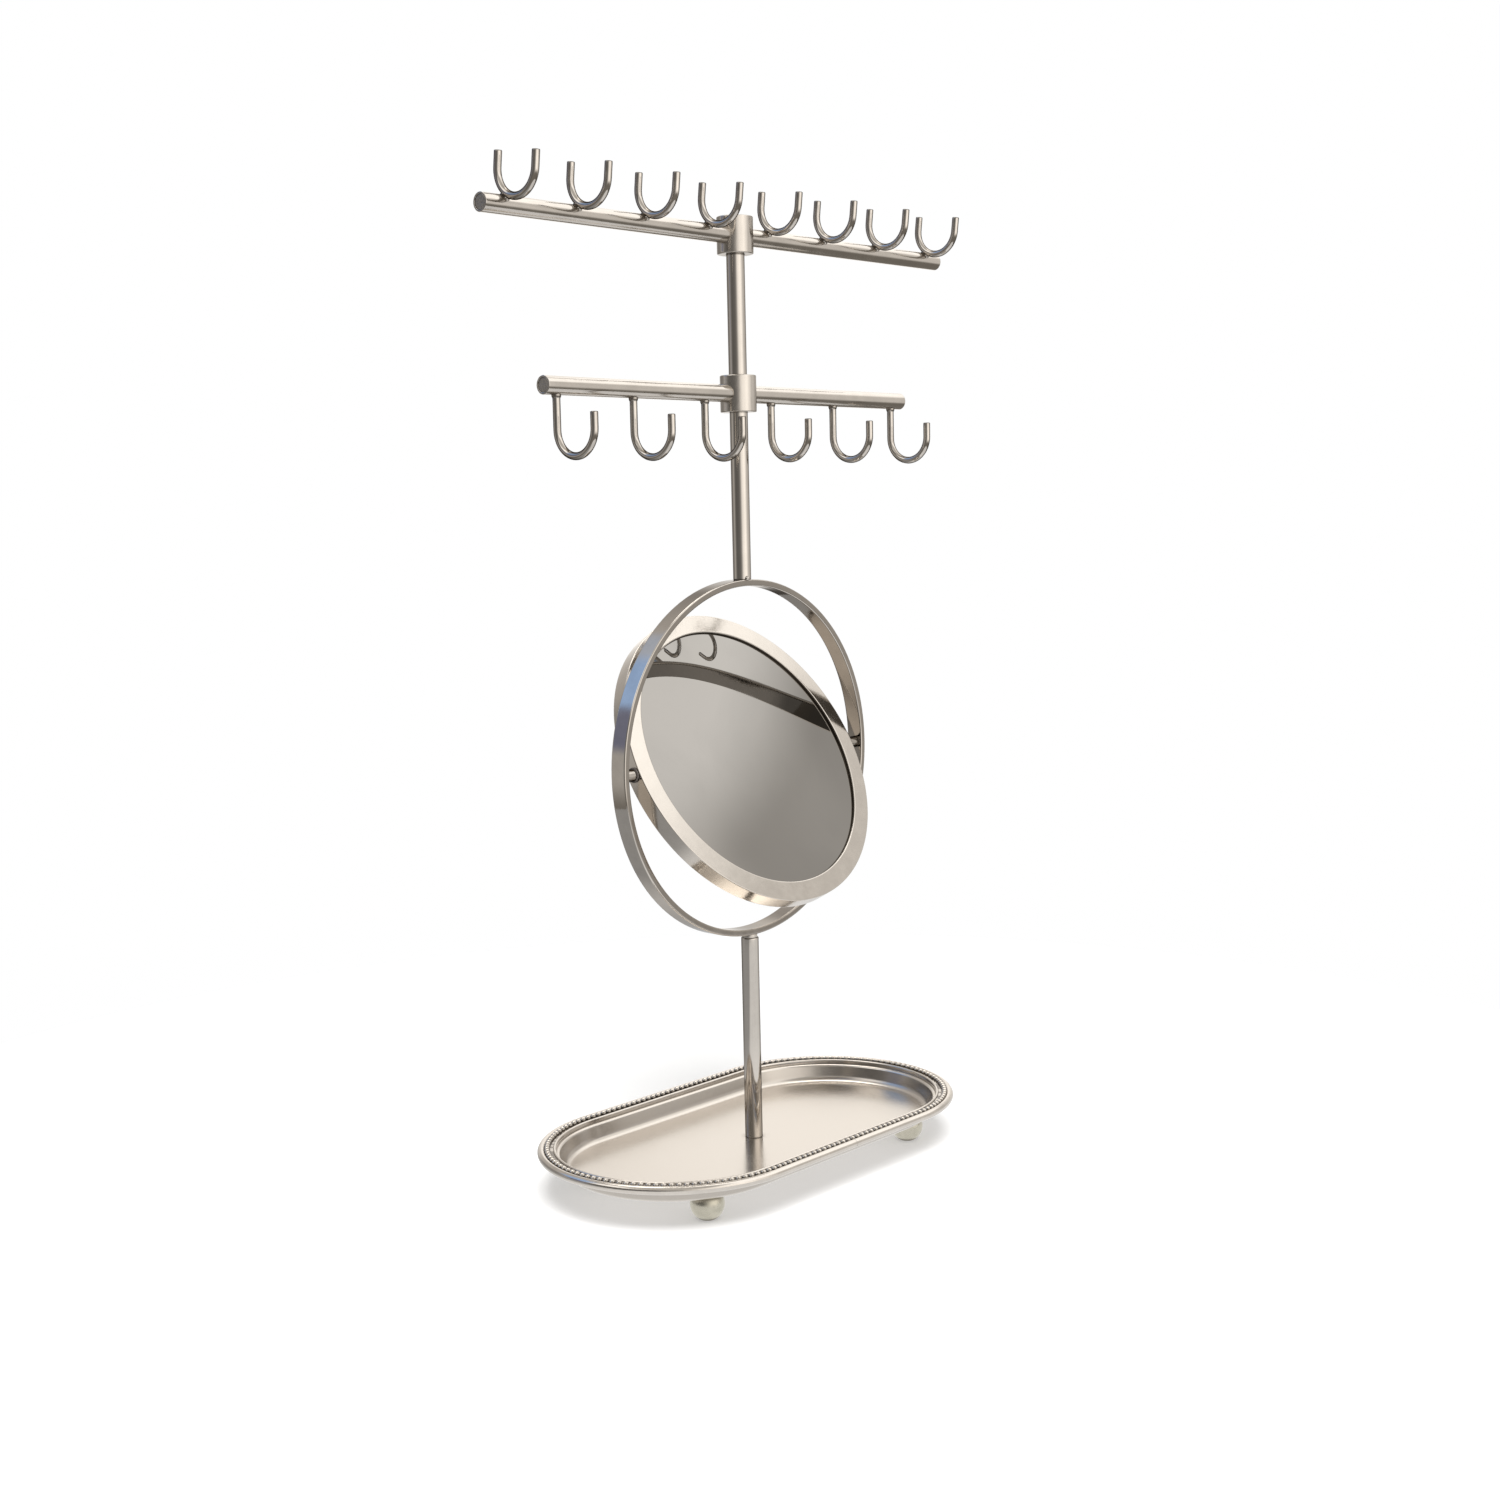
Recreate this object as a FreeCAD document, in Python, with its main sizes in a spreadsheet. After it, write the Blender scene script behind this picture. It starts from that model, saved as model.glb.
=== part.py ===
"""Jewellery stand: beaded tray on ball feet, round swivel mirror in a hoop, two crossbars with hooks.

Millimetres, +Z up.  The origin is on the post's axis, level with the bottoms of the feet.  X runs along
the crossbars and the tray's length, -Y is the front, where the hooks open and the mirror faces.
"""
import FreeCAD, Part
import math
import os
import re

import Sketcher

doc = FreeCAD.newDocument("jewellery_stand")
sheet = doc.addObject("Spreadsheet::Sheet", "Sizes")

# ---------------------------------------------------------------- driving sizes, and what follows from them
DRIVING = [
    ("foot_diameter", 18.6, "ball foot"),
    ("foot_flat_sink", 1.0, "how far the ball's bottom is cut flat, to stand on"),
    ("foot_height", 13.7, "table to the tray's underside"),
    ("foot_end_inset", 53.6, "border's end to the centre of a foot"),
    ("foot_side_inset", 32.6, "border's side to the centre of a foot"),
    ("tray_length", 279.2, "over the border"),
    ("tray_width", 153.2, "over the border"),
    ("sheet_thickness", 1.0, "pressed tray"),
    ("floor_inset", 19.5, "border's outside to the edge of the flat floor"),
    ("cove_radius", 6.0, "inside, floor to wall"),
    ("wall_angle", 75.0, "tray wall above the horizontal, degrees"),
    ("wall_rise", 9.8, "tray floor to the top of its flange"),
    ("shoulder_radius", 0.8, "under the sheet, wall to flange"),
    ("border_overhang", 2.9, "border's outside to the flange's edge"),
    ("rim_clearance", 0.2, "flange's edge to the lip"),
    ("border_width", 7.4, "flange edge to the border's inner edge"),
    ("border_base", 1.8, "border's thickness under the beads"),
    ("ridge_radius", 0.8, "half-round ridge inside the beads"),
    ("lip_radius", 2.3, "rolled outer lip"),
    ("lip_centre_rise", 0.5, "centre of the lip above the flange's top"),
    ("lip_root_inset", 4.0, "border's outside to where the lip rises beside the beads"),
    ("bead_inset", 5.3, "border's outside to the row of beads"),
    ("bead_diameter", 3.6, "one bead"),
    ("bead_spacing", 4.0, "wished distance from bead to bead"),
    ("bead_centre_rise", 1.85, "centre of a bead above the flange"),
    ("seam_gap", 0.1, "between the two halves of the border"),
    ("post_diameter", 10.0, "both posts"),
    ("post_wall", 1.0, "both posts"),
    ("hoop_centre_height", 233.0, "table to the mirror's axis"),
    ("swing_gap", 8.15, "mirror frame's outside to the hoop's inside"),
    ("hoop_thickness", 3.6, "flat strip, radially"),
    ("hoop_width", 10.5, "flat strip, front to back"),
    ("hoop_edge_radius", 0.8, "rounded corners of the strip"),
    ("collar_height", 2.2, "between the lower post and the hoop"),
    ("collar_diameter", 8.6, "between the lower post and the hoop"),
    ("thread_diameter", 5.0, "screw and studs"),
    ("insert_length", 12.0, "threaded insert in a post's end"),
    ("stud_reach", 10.0, "stud inside an insert"),
    ("fit_clearance", 0.05, "radial, between parts that are pushed together"),
    ("screw_hole_clearance", 0.2, "radial, screw in the tray's hole"),
    ("washer_diameter", 15.0, "under the tray"),
    ("washer_thickness", 1.2, "under the tray"),
    ("screw_head_diameter", 9.0, "under the tray"),
    ("screw_head_height", 3.0, "under the tray"),
    ("screw_head_round", 1.2, "rounded edge of the screw's head"),
    ("socket_width", 3.0, "hexagon socket, across flats"),
    ("socket_depth", 1.8, "hexagon socket"),
    ("tee_diameter", 20.0, "sleeve where a crossbar meets the post"),
    ("tee_height", 20.0, "sleeve where a crossbar meets the post"),
    ("tee_edge_radius", 0.6, "rounded rims of the sleeve"),
    ("tee_cap_thickness", 2.0, "closed top of the upper sleeve"),
    ("top_bar_height", 519.5, "table to the upper crossbar's axis"),
    ("mid_bar_height", 434.5, "table to the lower crossbar's axis"),
    ("top_bar_length", 361.0, "end to end"),
    ("mid_bar_length", 287.5, "end to end"),
    ("bar_diameter", 9.6, "both crossbars"),
    ("bar_wall", 1.0, "both crossbars"),
    ("plug_length", 4.0, "end plug of a crossbar"),
    ("plug_recess", 0.3, "plug's face behind the tube's end"),
    ("wire_diameter", 4.0, "hooks"),
    ("hook_radius", 13.5, "bend of a hook, to the wire's centre"),
    ("hook_tip_rise", 8.0, "straight end above the bend"),
    ("hook_tip_round", 0.5, "rounded wire ends"),
    ("hook_sink", 0.3, "depth of the seat that the bar makes in a hook's wire"),
    ("solder_radius", 2.7, "bead of solder at a hook's root"),
    ("upper_hook_pitch", 47.7, "along the upper crossbar"),
    ("upper_hook_seat", 29.0, "bend's centre forward of upright before the hook leans, degrees"),
    ("upper_hook_lean", 6.5, "forward, degrees"),
    ("lower_hook_pitch", 54.0, "along the lower crossbar"),
    ("lower_hook_drop", 22.0, "bar's axis to the centre of the bend"),
    ("mirror_tilt", 29.4, "top leans back, degrees"),
    ("mirror_diameter", 176.5, "frame's outside"),
    ("mirror_depth", 10.4, "frame, front to back"),
    ("frame_wall", 1.5, "frame's outer wall"),
    ("bezel_width", 11.05, "front ring of the frame"),
    ("bezel_thickness", 1.2, "front ring of the frame"),
    ("frame_edge_radius", 0.5, "rounded outer corners of the frame"),
    ("bezel_lip_chamfer", 0.6, "inner edge of the front ring"),
    ("glass_overlap", 2.8, "glass behind the front ring"),
    ("glass_thickness", 3.0, "mirror glass"),
    ("back_plate_thickness", 1.2, "metal back"),
    ("back_plate_recess", 0.2, "back plate inside the frame's rear edge"),
    ("pin_diameter", 4.0, "mirror's pivot"),
    ("running_clearance", 0.05, "radial, pivot pin in the frame"),
    ("thrust_gap", 0.3, "frame's side to the friction washer"),
    ("boss_diameter", 7.4, "inside the frame, round the pivot"),
    ("boss_depth", 5.5, "frame's outside to the boss's inner end"),
    ("pin_end_gap", 0.85, "pin's inner end short of the boss's inner end"),
    ("spacer_diameter", 6.5, "between hoop and frame"),
    ("friction_washer_diameter", 8.0, "between spacer and frame"),
    ("friction_washer_thickness", 0.5, "between spacer and frame"),
]

DERIVED = [
    ("foot_radius", "foot_diameter / 2"),
    ("foot_centre", "foot_radius - foot_flat_sink"),
    ("floor_height", "foot_height + sheet_thickness"),
    ("flange_height", "floor_height + wall_rise"),
    ("end_radius", "tray_width / 2"),
    ("end_offset", "tray_length / 2 - end_radius"),
    ("foot_x", "tray_length / 2 - foot_end_inset"),
    ("foot_y", "end_radius - foot_side_inset"),
    ("floor_radius", "end_radius - floor_inset"),
    ("flange_radius", "end_radius - border_overhang"),
    ("cove_outer_radius", "cove_radius + sheet_thickness"),
    ("shoulder_outer_radius", "shoulder_radius + sheet_thickness"),
    ("cove_centre_height", "floor_height + cove_radius"),
    ("shoulder_centre_height", "flange_height - shoulder_outer_radius"),
    ("wall_foot_height", "cove_centre_height - cove_radius * cos(wall_angle)"),
    ("wall_head_height", "shoulder_centre_height + shoulder_outer_radius * cos(wall_angle)"),
    ("wall_run", "(wall_head_height - wall_foot_height) / tan(wall_angle)"),
    ("shoulder_centre_radius",
     "floor_radius + (cove_radius + shoulder_outer_radius) * sin(wall_angle) + wall_run"),
    ("border_inner_radius", "flange_radius - border_width"),
    ("border_base_height", "flange_height + border_base"),
    ("lip_centre_radius", "end_radius - lip_radius"),
    ("lip_centre_height", "flange_height + lip_centre_rise"),
    ("lip_root_radius", "end_radius - lip_root_inset"),
    ("lip_root_height",
     "lip_centre_height + sqrt(lip_radius ^ 2 - (lip_root_radius - lip_centre_radius) ^ 2)"),
    ("lip_foot_height",
     "lip_centre_height - sqrt(lip_radius ^ 2 - (flange_radius - lip_centre_radius) ^ 2)"),
    ("bead_row_radius", "end_radius - bead_inset"),
    ("bead_height", "flange_height + bead_centre_rise"),
    ("end_gaps", "round(pi * bead_row_radius / bead_spacing)"),
    ("side_beads", "round(end_offset / bead_spacing - 0.5)"),
    ("side_pitch", "end_offset / (side_beads + 0.5)"),
    ("post_radius", "post_diameter / 2"),
    ("post_bore_radius", "post_radius - post_wall"),
    ("thread_radius", "thread_diameter / 2"),
    ("thread_hole_radius", "thread_radius + fit_clearance"),
    ("insert_radius", "post_bore_radius - fit_clearance"),
    ("mirror_radius", "mirror_diameter / 2"),
    ("hoop_inner_radius", "mirror_radius + swing_gap"),
    ("hoop_radius", "hoop_inner_radius + hoop_thickness"),
    ("hoop_bottom_height", "hoop_centre_height - hoop_radius"),
    ("hoop_top_height", "hoop_centre_height + hoop_radius"),
    ("lower_post_top", "hoop_bottom_height - collar_height"),
    ("upper_post_top", "top_bar_height + tee_height / 2 - tee_cap_thickness"),
    ("bar_radius", "bar_diameter / 2"),
    ("bar_bore_radius", "bar_radius - bar_wall"),
    ("tee_radius", "tee_diameter / 2"),
    ("tee_bore_radius", "post_radius + fit_clearance"),
    ("cross_bore_radius", "bar_radius + fit_clearance"),
    ("bar_cope_radius", "post_radius + fit_clearance"),
    ("wire_radius", "wire_diameter / 2"),
    ("upper_hook_reach", "bar_radius + wire_radius - hook_sink + hook_radius"),
    ("upper_bend_y", "-upper_hook_reach * sin(upper_hook_seat)"),
    ("upper_bend_z", "upper_hook_reach * cos(upper_hook_seat)"),
    ("frame_bore_radius", "mirror_radius - frame_wall"),
    ("bezel_inner_radius", "mirror_radius - bezel_width"),
    ("mirror_front", "-mirror_depth / 2"),
    ("mirror_rear", "mirror_depth / 2"),
    ("glass_front", "mirror_front + bezel_thickness"),
    ("glass_rear", "glass_front + glass_thickness"),
    ("glass_radius", "bezel_inner_radius + glass_overlap"),
    ("back_plate_rear", "mirror_rear - back_plate_recess"),
    ("back_plate_front", "back_plate_rear - back_plate_thickness"),
    ("boss_inner_end", "mirror_radius - boss_depth"),
    ("pin_inner_end", "boss_inner_end + pin_end_gap"),
    ("pin_radius", "pin_diameter / 2"),
    ("pivot_bore_radius", "pin_radius + running_clearance"),
    ("washer_inner_end", "mirror_radius + thrust_gap"),
    ("washer_outer_end", "washer_inner_end + friction_washer_thickness"),
    ("spacer_outer_end", "sqrt(hoop_inner_radius ^ 2 - (spacer_diameter / 2) ^ 2)"),
]

UPPER_HOOKS = 8
LOWER_HOOKS = 6

for row, (alias, value, note) in enumerate(DRIVING, start=1):
    sheet.set(f"A{row}", alias)
    sheet.set(f"B{row}", str(value))
    sheet.set(f"C{row}", note)
    sheet.setAlias(f"B{row}", alias)
for row, (alias, formula) in enumerate(DERIVED, start=len(DRIVING) + 1):
    sheet.set(f"A{row}", alias)
    sheet.set(f"B{row}", f"={formula}")
    sheet.setAlias(f"B{row}", alias)
doc.recompute()

ALIASES = {entry[0] for entry in DRIVING + DERIVED}
WORD = re.compile(r"[a-z][a-z_]*")
ORIGIN = (-1, 1)
SKETCH_AXES = {"horizontal": -1, "vertical": -2}
WHOLE_TURN = 360
HALF_TURN = 180
AXES = {"x": FreeCAD.Vector(1, 0, 0), "y": FreeCAD.Vector(0, 1, 0), "z": FreeCAD.Vector(0, 0, 1)}


# ---------------------------------------------------------------- helpers: formulas, sketches, features
def bound(formula):
    """A formula in the sheet's aliases, written as an expression of any other object."""
    return WORD.sub(lambda word: f"Sizes.{word[0]}" if word[0] in ALIASES else word[0], str(formula))


def number(formula):
    """The present value of a formula, used as a first guess where a sketch is drawn."""
    return float(sheet.evalExpression(bound(formula)))


def new_body(label, x=0, y=0, z=0, turn=None):
    """An empty body at (x, y, z); turn is (axis, formula), an angle in degrees about one axis."""
    body = doc.addObject("PartDesign::Body", label)
    body.Label = label
    for letter, formula in (("x", x), ("y", y), ("z", z)):
        if formula != 0:
            body.setExpression(f"Placement.Base.{letter}", bound(formula))
    if turn is not None:
        axis, angle = turn
        body.Placement.Rotation = FreeCAD.Rotation(AXES[axis], number(angle))
        body.setExpression("Placement.Rotation.Angle", bound(angle))
    return body


def origin_plane(body, role):
    """One of the body's own origin planes."""
    return next(feature for feature in body.Origin.OriginFeatures if feature.Role == role)


def new_sketch(body, name, plane, x=0, y=0, z=0):
    """A sketch on one of the body's own origin planes, moved by formulas in the plane's own directions."""
    sketch = body.newObject("Sketcher::SketchObject", name)
    sketch.AttachmentSupport = [(origin_plane(body, plane), "")]
    sketch.MapMode = "FlatFace"
    for letter, formula in (("x", x), ("y", y), ("z", z)):
        if formula != 0:
            sketch.setExpression(f"AttachmentOffset.Base.{letter}", bound(formula))
    return sketch


def pin_point(sketch, element, x, y):
    """Hold a sketch point at the two formulas."""
    for kind, formula, axis in (("DistanceX", x, "vertical"), ("DistanceY", y, "horizontal")):
        if formula == 0:
            sketch.addConstraint(Sketcher.Constraint("PointOnObject", *element, SKETCH_AXES[axis]))
        else:
            made = sketch.addConstraint(Sketcher.Constraint(kind, *ORIGIN, *element, number(formula)))
            sketch.setExpression(f"Constraints[{made}]", bound(formula))


def arc_between(start, end, radius, anticlockwise, large):
    """The arc from start to end as a Part arc, which always runs anticlockwise."""
    chord = end - start
    across = FreeCAD.Vector(-chord.y, chord.x, 0).normalize()
    height = math.sqrt(max(radius ** 2 - (chord.Length / 2) ** 2, 0))
    side = 1 if anticlockwise != large else -1
    centre = (start + end) / 2 + across * (side * height)
    first, last = (start, end) if anticlockwise else (end, start)
    angles = [math.atan2(point.y - centre.y, point.x - centre.x) for point in (first, last)]
    circle = Part.Circle(centre, FreeCAD.Vector(0, 0, 1), radius)
    return Part.ArcOfCircle(circle, *angles)


def draw_outline(sketch, corners):
    """A closed outline.  Each corner is (x, y), or (x, y, radius, turn) where an arc leaves it.

    turn is "left" or "right", the way the arc bends, with " large" after it where it is over half a circle.
    """
    points = [FreeCAD.Vector(number(corner[0]), number(corner[1]), 0) for corner in corners]
    ends = []
    for index, corner in enumerate(corners):
        start = points[index]
        end = points[(index + 1) % len(points)]
        if len(corner) == 2:
            edge = sketch.addGeometry(Part.LineSegment(start, end), False)
            ends.append(((edge, 1), (edge, 2)))
            continue
        left = corner[3].startswith("left")
        large = corner[3].endswith("large")
        edge = sketch.addGeometry(arc_between(start, end, number(corner[2]), left, large), False)
        ends.append(((edge, 1), (edge, 2)) if left else ((edge, 2), (edge, 1)))
        made = sketch.addConstraint(Sketcher.Constraint("Radius", edge, number(corner[2])))
        sketch.setExpression(f"Constraints[{made}]", bound(corner[2]))
    for index, corner in enumerate(corners):
        sketch.addConstraint(Sketcher.Constraint("Coincident", *ends[index - 1][1], *ends[index][0]))
        pin_point(sketch, ends[index][0], corner[0], corner[1])


def draw_circle(sketch, x, y, radius):
    """A circle held by its centre and radius."""
    centre = FreeCAD.Vector(number(x), number(y), 0)
    circle = sketch.addGeometry(Part.Circle(centre, FreeCAD.Vector(0, 0, 1), number(radius)), False)
    pin_point(sketch, (circle, 3), x, y)
    made = sketch.addConstraint(Sketcher.Constraint("Radius", circle, number(radius)))
    sketch.setExpression(f"Constraints[{made}]", bound(radius))


def draw_hexagon(sketch, across_flats):
    """A hexagon about the sketch's origin, with one flat upright on each side."""
    corner = f"({across_flats}) / 2 / cos(30)"
    corners = []
    for angle in range(0, WHOLE_TURN, 60):
        height = f"{corner} * sin({angle})" if angle % HALF_TURN else 0
        corners.append((f"{corner} * cos({angle})", height))
    draw_outline(sketch, corners)


def revolve(body, name, sketch, axis, angle=WHOLE_TURN, both_ways=False):
    """Turn a sketch about one of its own axes."""
    feature = body.newObject("PartDesign::Revolution", name)
    feature.Profile = sketch
    feature.ReferenceAxis = (sketch, [axis])
    feature.Angle = angle
    feature.Midplane = both_ways
    return feature


def pad(body, name, sketch, length, both_ways=False):
    """Push a sketch along its normal, by a formula's length."""
    feature = body.newObject("PartDesign::Pad", name)
    feature.Profile = sketch
    feature.SideType = "Symmetric" if both_ways else "One side"
    feature.setExpression("Length", bound(length))
    return feature


def drill(body, name, sketch):
    """Cut a sketch through the whole body, both ways, and make sure that it cut something."""
    doc.recompute()
    before = body.Shape.Volume
    feature = body.newObject("PartDesign::Pocket", name)
    feature.Profile = sketch
    feature.Type = "ThroughAll"
    feature.SideType = "Symmetric"
    doc.recompute()
    if body.Shape.Volume >= before:
        raise RuntimeError(f"{body.Label}: {name} cuts nothing")
    return feature


def mirror(body, name, features, plane):
    """Repeat features on the other side of one of the body's origin planes."""
    feature = body.newObject("PartDesign::Mirrored", name)
    feature.Originals = features
    feature.MirrorPlane = (origin_plane(body, plane), [""])
    body.Tip = feature


def turned(label, corners, axis="z", **place):
    """A body of one section turned about an axis: (radius, along) for z and y, (along, radius) for x."""
    body = new_body(label, **place)
    sketch = new_sketch(body, f"{label}_section", "XZ_Plane" if axis == "z" else "XY_Plane")
    draw_outline(sketch, corners)
    revolve(body, f"{label}_turned", sketch, "H_Axis" if axis == "x" else "V_Axis")
    return body


def ring(inner, outer, low, high):
    """Corners of a plain rectangle from one radius to another and from one height to another."""
    return [(inner, low), (outer, low), (outer, high), (inner, high)]


def sleeve(start, end, inner, outer):
    """Corners of a plain rectangle along X, for a body turned about X."""
    return [(start, inner), (end, inner), (end, outer), (start, outer)]


# ---------------------------------------------------------------- tray
TRAY_SECTION = [
    (0, "foot_height"),
    ("floor_radius", "foot_height", "cove_outer_radius", "left"),
    ("floor_radius + cove_outer_radius * sin(wall_angle)",
     "cove_centre_height - cove_outer_radius * cos(wall_angle)"),
    ("shoulder_centre_radius - shoulder_radius * sin(wall_angle)",
     "shoulder_centre_height + shoulder_radius * cos(wall_angle)", "shoulder_radius", "right"),
    ("shoulder_centre_radius", "shoulder_centre_height + shoulder_radius"),
    ("flange_radius - rim_clearance", "shoulder_centre_height + shoulder_radius"),
    ("flange_radius - rim_clearance", "flange_height"),
    ("shoulder_centre_radius", "flange_height", "shoulder_outer_radius", "left"),
    ("shoulder_centre_radius - shoulder_outer_radius * sin(wall_angle)", "wall_head_height"),
    ("floor_radius + cove_radius * sin(wall_angle)", "wall_foot_height", "cove_radius", "right"),
    ("floor_radius", "floor_height"),
    (0, "floor_height"),
]

BORDER_SECTION = [
    ("border_inner_radius", "flange_height"),
    ("flange_radius", "flange_height"),
    ("flange_radius", "lip_foot_height", "lip_radius", "left large"),
    ("lip_root_radius", "lip_root_height"),
    ("lip_root_radius", "border_base_height"),
    ("border_inner_radius + 2 * ridge_radius", "border_base_height", "ridge_radius", "left"),
    ("border_inner_radius + ridge_radius", "border_base_height + ridge_radius", "ridge_radius", "left"),
    ("border_inner_radius", "border_base_height"),
]


def make_tray():
    """Pressed stadium-shaped pan: one half section run along the sides and turned round both ends."""
    body = new_body("tray_dish")
    side = new_sketch(body, "tray_side_section", "YZ_Plane")
    draw_outline(side, TRAY_SECTION)
    rear = pad(body, "tray_rear_side", side, "2 * end_offset", both_ways=True)
    mirror(body, "tray_front_side", [rear], "XZ_Plane")
    end = new_sketch(body, "tray_end_section", "XZ_Plane", x="end_offset")
    draw_outline(end, TRAY_SECTION)
    right = revolve(body, "tray_right_end", end, "V_Axis", HALF_TURN, both_ways=True)
    mirror(body, "tray_left_end", [right], "YZ_Plane")
    hole = new_sketch(body, "tray_screw_hole", "XY_Plane")
    draw_circle(hole, 0, 0, "thread_radius + screw_hole_clearance")
    drill(body, "tray_screw_opening", hole)


def make_border(label, turn):
    """Half of the cast border: strip with rolled lip and ridge, and its row of beads."""
    body = new_body(label, turn=turn)
    side = new_sketch(body, f"{label}_side_section", "YZ_Plane", z="seam_gap / 2")
    draw_outline(side, BORDER_SECTION)
    rear = pad(body, f"{label}_rear_strip", side, "end_offset - seam_gap / 2")
    mirror(body, f"{label}_front_strip", [rear], "XZ_Plane")
    end = new_sketch(body, f"{label}_end_section", "XZ_Plane", x="end_offset")
    draw_outline(end, BORDER_SECTION)
    revolve(body, f"{label}_end_strip", end, "V_Axis", HALF_TURN, both_ways=True)

    def bead(name, x):
        ball = body.newObject("PartDesign::AdditiveSphere", name)
        ball.AttachmentSupport = [(origin_plane(body, "XY_Plane"), "")]
        ball.MapMode = "FlatFace"
        ball.setExpression("Radius", bound("bead_diameter / 2"))
        ball.setExpression("AttachmentOffset.Base.x", bound(x))
        ball.setExpression("AttachmentOffset.Base.y", bound("bead_row_radius"))
        ball.setExpression("AttachmentOffset.Base.z", bound("bead_height"))
        return ball

    first = bead(f"{label}_end_bead", "end_offset")
    round_end = body.newObject("PartDesign::PolarPattern", f"{label}_end_beads")
    round_end.Originals = [first]
    round_end.Axis = (end, ["V_Axis"])
    round_end.Angle = HALF_TURN
    round_end.Reversed = True
    round_end.Refine = False
    round_end.setExpression("Occurrences", bound("end_gaps + 1"))
    body.Tip = round_end
    start = bead(f"{label}_side_bead", "end_offset - side_pitch")
    along = body.newObject("PartDesign::MultiTransform", f"{label}_side_beads")
    row = body.newObject("PartDesign::LinearPattern", f"{label}_side_row")
    row.Direction = (end, ["H_Axis"])
    row.Reversed = True
    row.setExpression("Length", bound("(side_beads - 1) * side_pitch"))
    row.setExpression("Occurrences", bound("side_beads"))
    across = body.newObject("PartDesign::Mirrored", f"{label}_side_mirror")
    across.MirrorPlane = (origin_plane(body, "XZ_Plane"), [""])
    along.Originals = [start]
    along.Transformations = [row, across]
    along.Refine = False
    body.Tip = along


# ---------------------------------------------------------------- feet, posts and hoop
FOOT_SECTION = [
    (0, 0),
    ("sqrt(foot_radius ^ 2 - foot_centre ^ 2)", 0, "foot_radius", "left"),
    ("sqrt(foot_radius ^ 2 - (foot_height - foot_centre) ^ 2)", "foot_height"),
    (0, "foot_height"),
]


def make_screw():
    """Round-headed socket screw, up through the tray into the lower post."""
    top = "foot_height - washer_thickness"
    bottom = f"{top} - screw_head_height"
    head = "screw_head_diameter / 2"
    body = turned("base_screw", [
        (0, bottom),
        (f"{head} - screw_head_round", bottom, "screw_head_round", "left"),
        (head, f"{bottom} + screw_head_round"),
        (head, top),
        ("thread_radius", top),
        ("thread_radius", "floor_height + stud_reach"),
        (0, "floor_height + stud_reach"),
    ])
    sketch = new_sketch(body, "screw_socket", "XY_Plane", z=bottom)
    draw_hexagon(sketch, "socket_width")
    doc.recompute()
    before = body.Shape.Volume
    socket = body.newObject("PartDesign::Pocket", "screw_socket_pocket")
    socket.Profile = sketch
    socket.Reversed = True
    socket.setExpression("Length", bound("socket_depth"))
    doc.recompute()
    if body.Shape.Volume >= before:
        raise RuntimeError("the screw's socket cuts nothing")


def make_hoop():
    """Flat strip bent to a ring, with holes for the studs and for the mirror's pins."""
    half = "hoop_width / 2"
    inner, outer, edge = "hoop_inner_radius", "hoop_radius", "hoop_edge_radius"
    body = turned("hoop", [
        (f"{inner} + {edge}", f"-{half}"),
        (f"{outer} - {edge}", f"-{half}", edge, "left"),
        (outer, f"-{half} + {edge}"),
        (outer, f"{half} - {edge}", edge, "left"),
        (f"{outer} - {edge}", half),
        (f"{inner} + {edge}", half, edge, "left"),
        (inner, f"{half} - {edge}"),
        (inner, f"-{half} + {edge}", edge, "left"),
    ], axis="y", z="hoop_centre_height")
    studs = new_sketch(body, "hoop_stud_holes", "XY_Plane")
    draw_circle(studs, 0, 0, "thread_hole_radius")
    drill(body, "hoop_stud_openings", studs)
    pins = new_sketch(body, "hoop_pin_holes", "YZ_Plane")
    draw_circle(pins, 0, 0, "pin_radius + fit_clearance")
    drill(body, "hoop_pin_openings", pins)


def make_foundation():
    """Everything from the table up to the hoop's top."""
    make_tray()
    make_border("rim_border_right", None)
    make_border("rim_border_left", ("z", "180"))
    for depth, y in (("front", "-foot_y"), ("rear", "foot_y")):
        for side, x in (("left", "-foot_x"), ("right", "foot_x")):
            turned(f"foot_{depth}_{side}", FOOT_SECTION, x=x, y=y)
    make_screw()
    turned("base_washer", ring("thread_hole_radius", "washer_diameter / 2",
                               "foot_height - washer_thickness", "foot_height"))
    turned("lower_post", ring("post_bore_radius", "post_radius", "floor_height", "lower_post_top"))
    for label, low in (("lower_post_foot_insert", "floor_height"),
                       ("lower_post_head_insert", "lower_post_top - insert_length"),
                       ("upper_post_foot_insert", "hoop_top_height")):
        turned(label, ring("thread_hole_radius", "insert_radius", low, f"{low} + insert_length"))
    turned("joint_collar", ring("thread_hole_radius", "collar_diameter / 2",
                                "lower_post_top", "hoop_bottom_height"))
    make_hoop()
    turned("hoop_lower_stud", ring(0, "thread_radius", "lower_post_top - stud_reach",
                                   "hoop_centre_height - hoop_inner_radius"))
    turned("hoop_upper_stud", ring(0, "thread_radius", "hoop_centre_height + hoop_inner_radius",
                                   "hoop_top_height + stud_reach"))
    turned("upper_post", ring("post_bore_radius", "post_radius", "hoop_top_height", "upper_post_top"))


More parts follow.
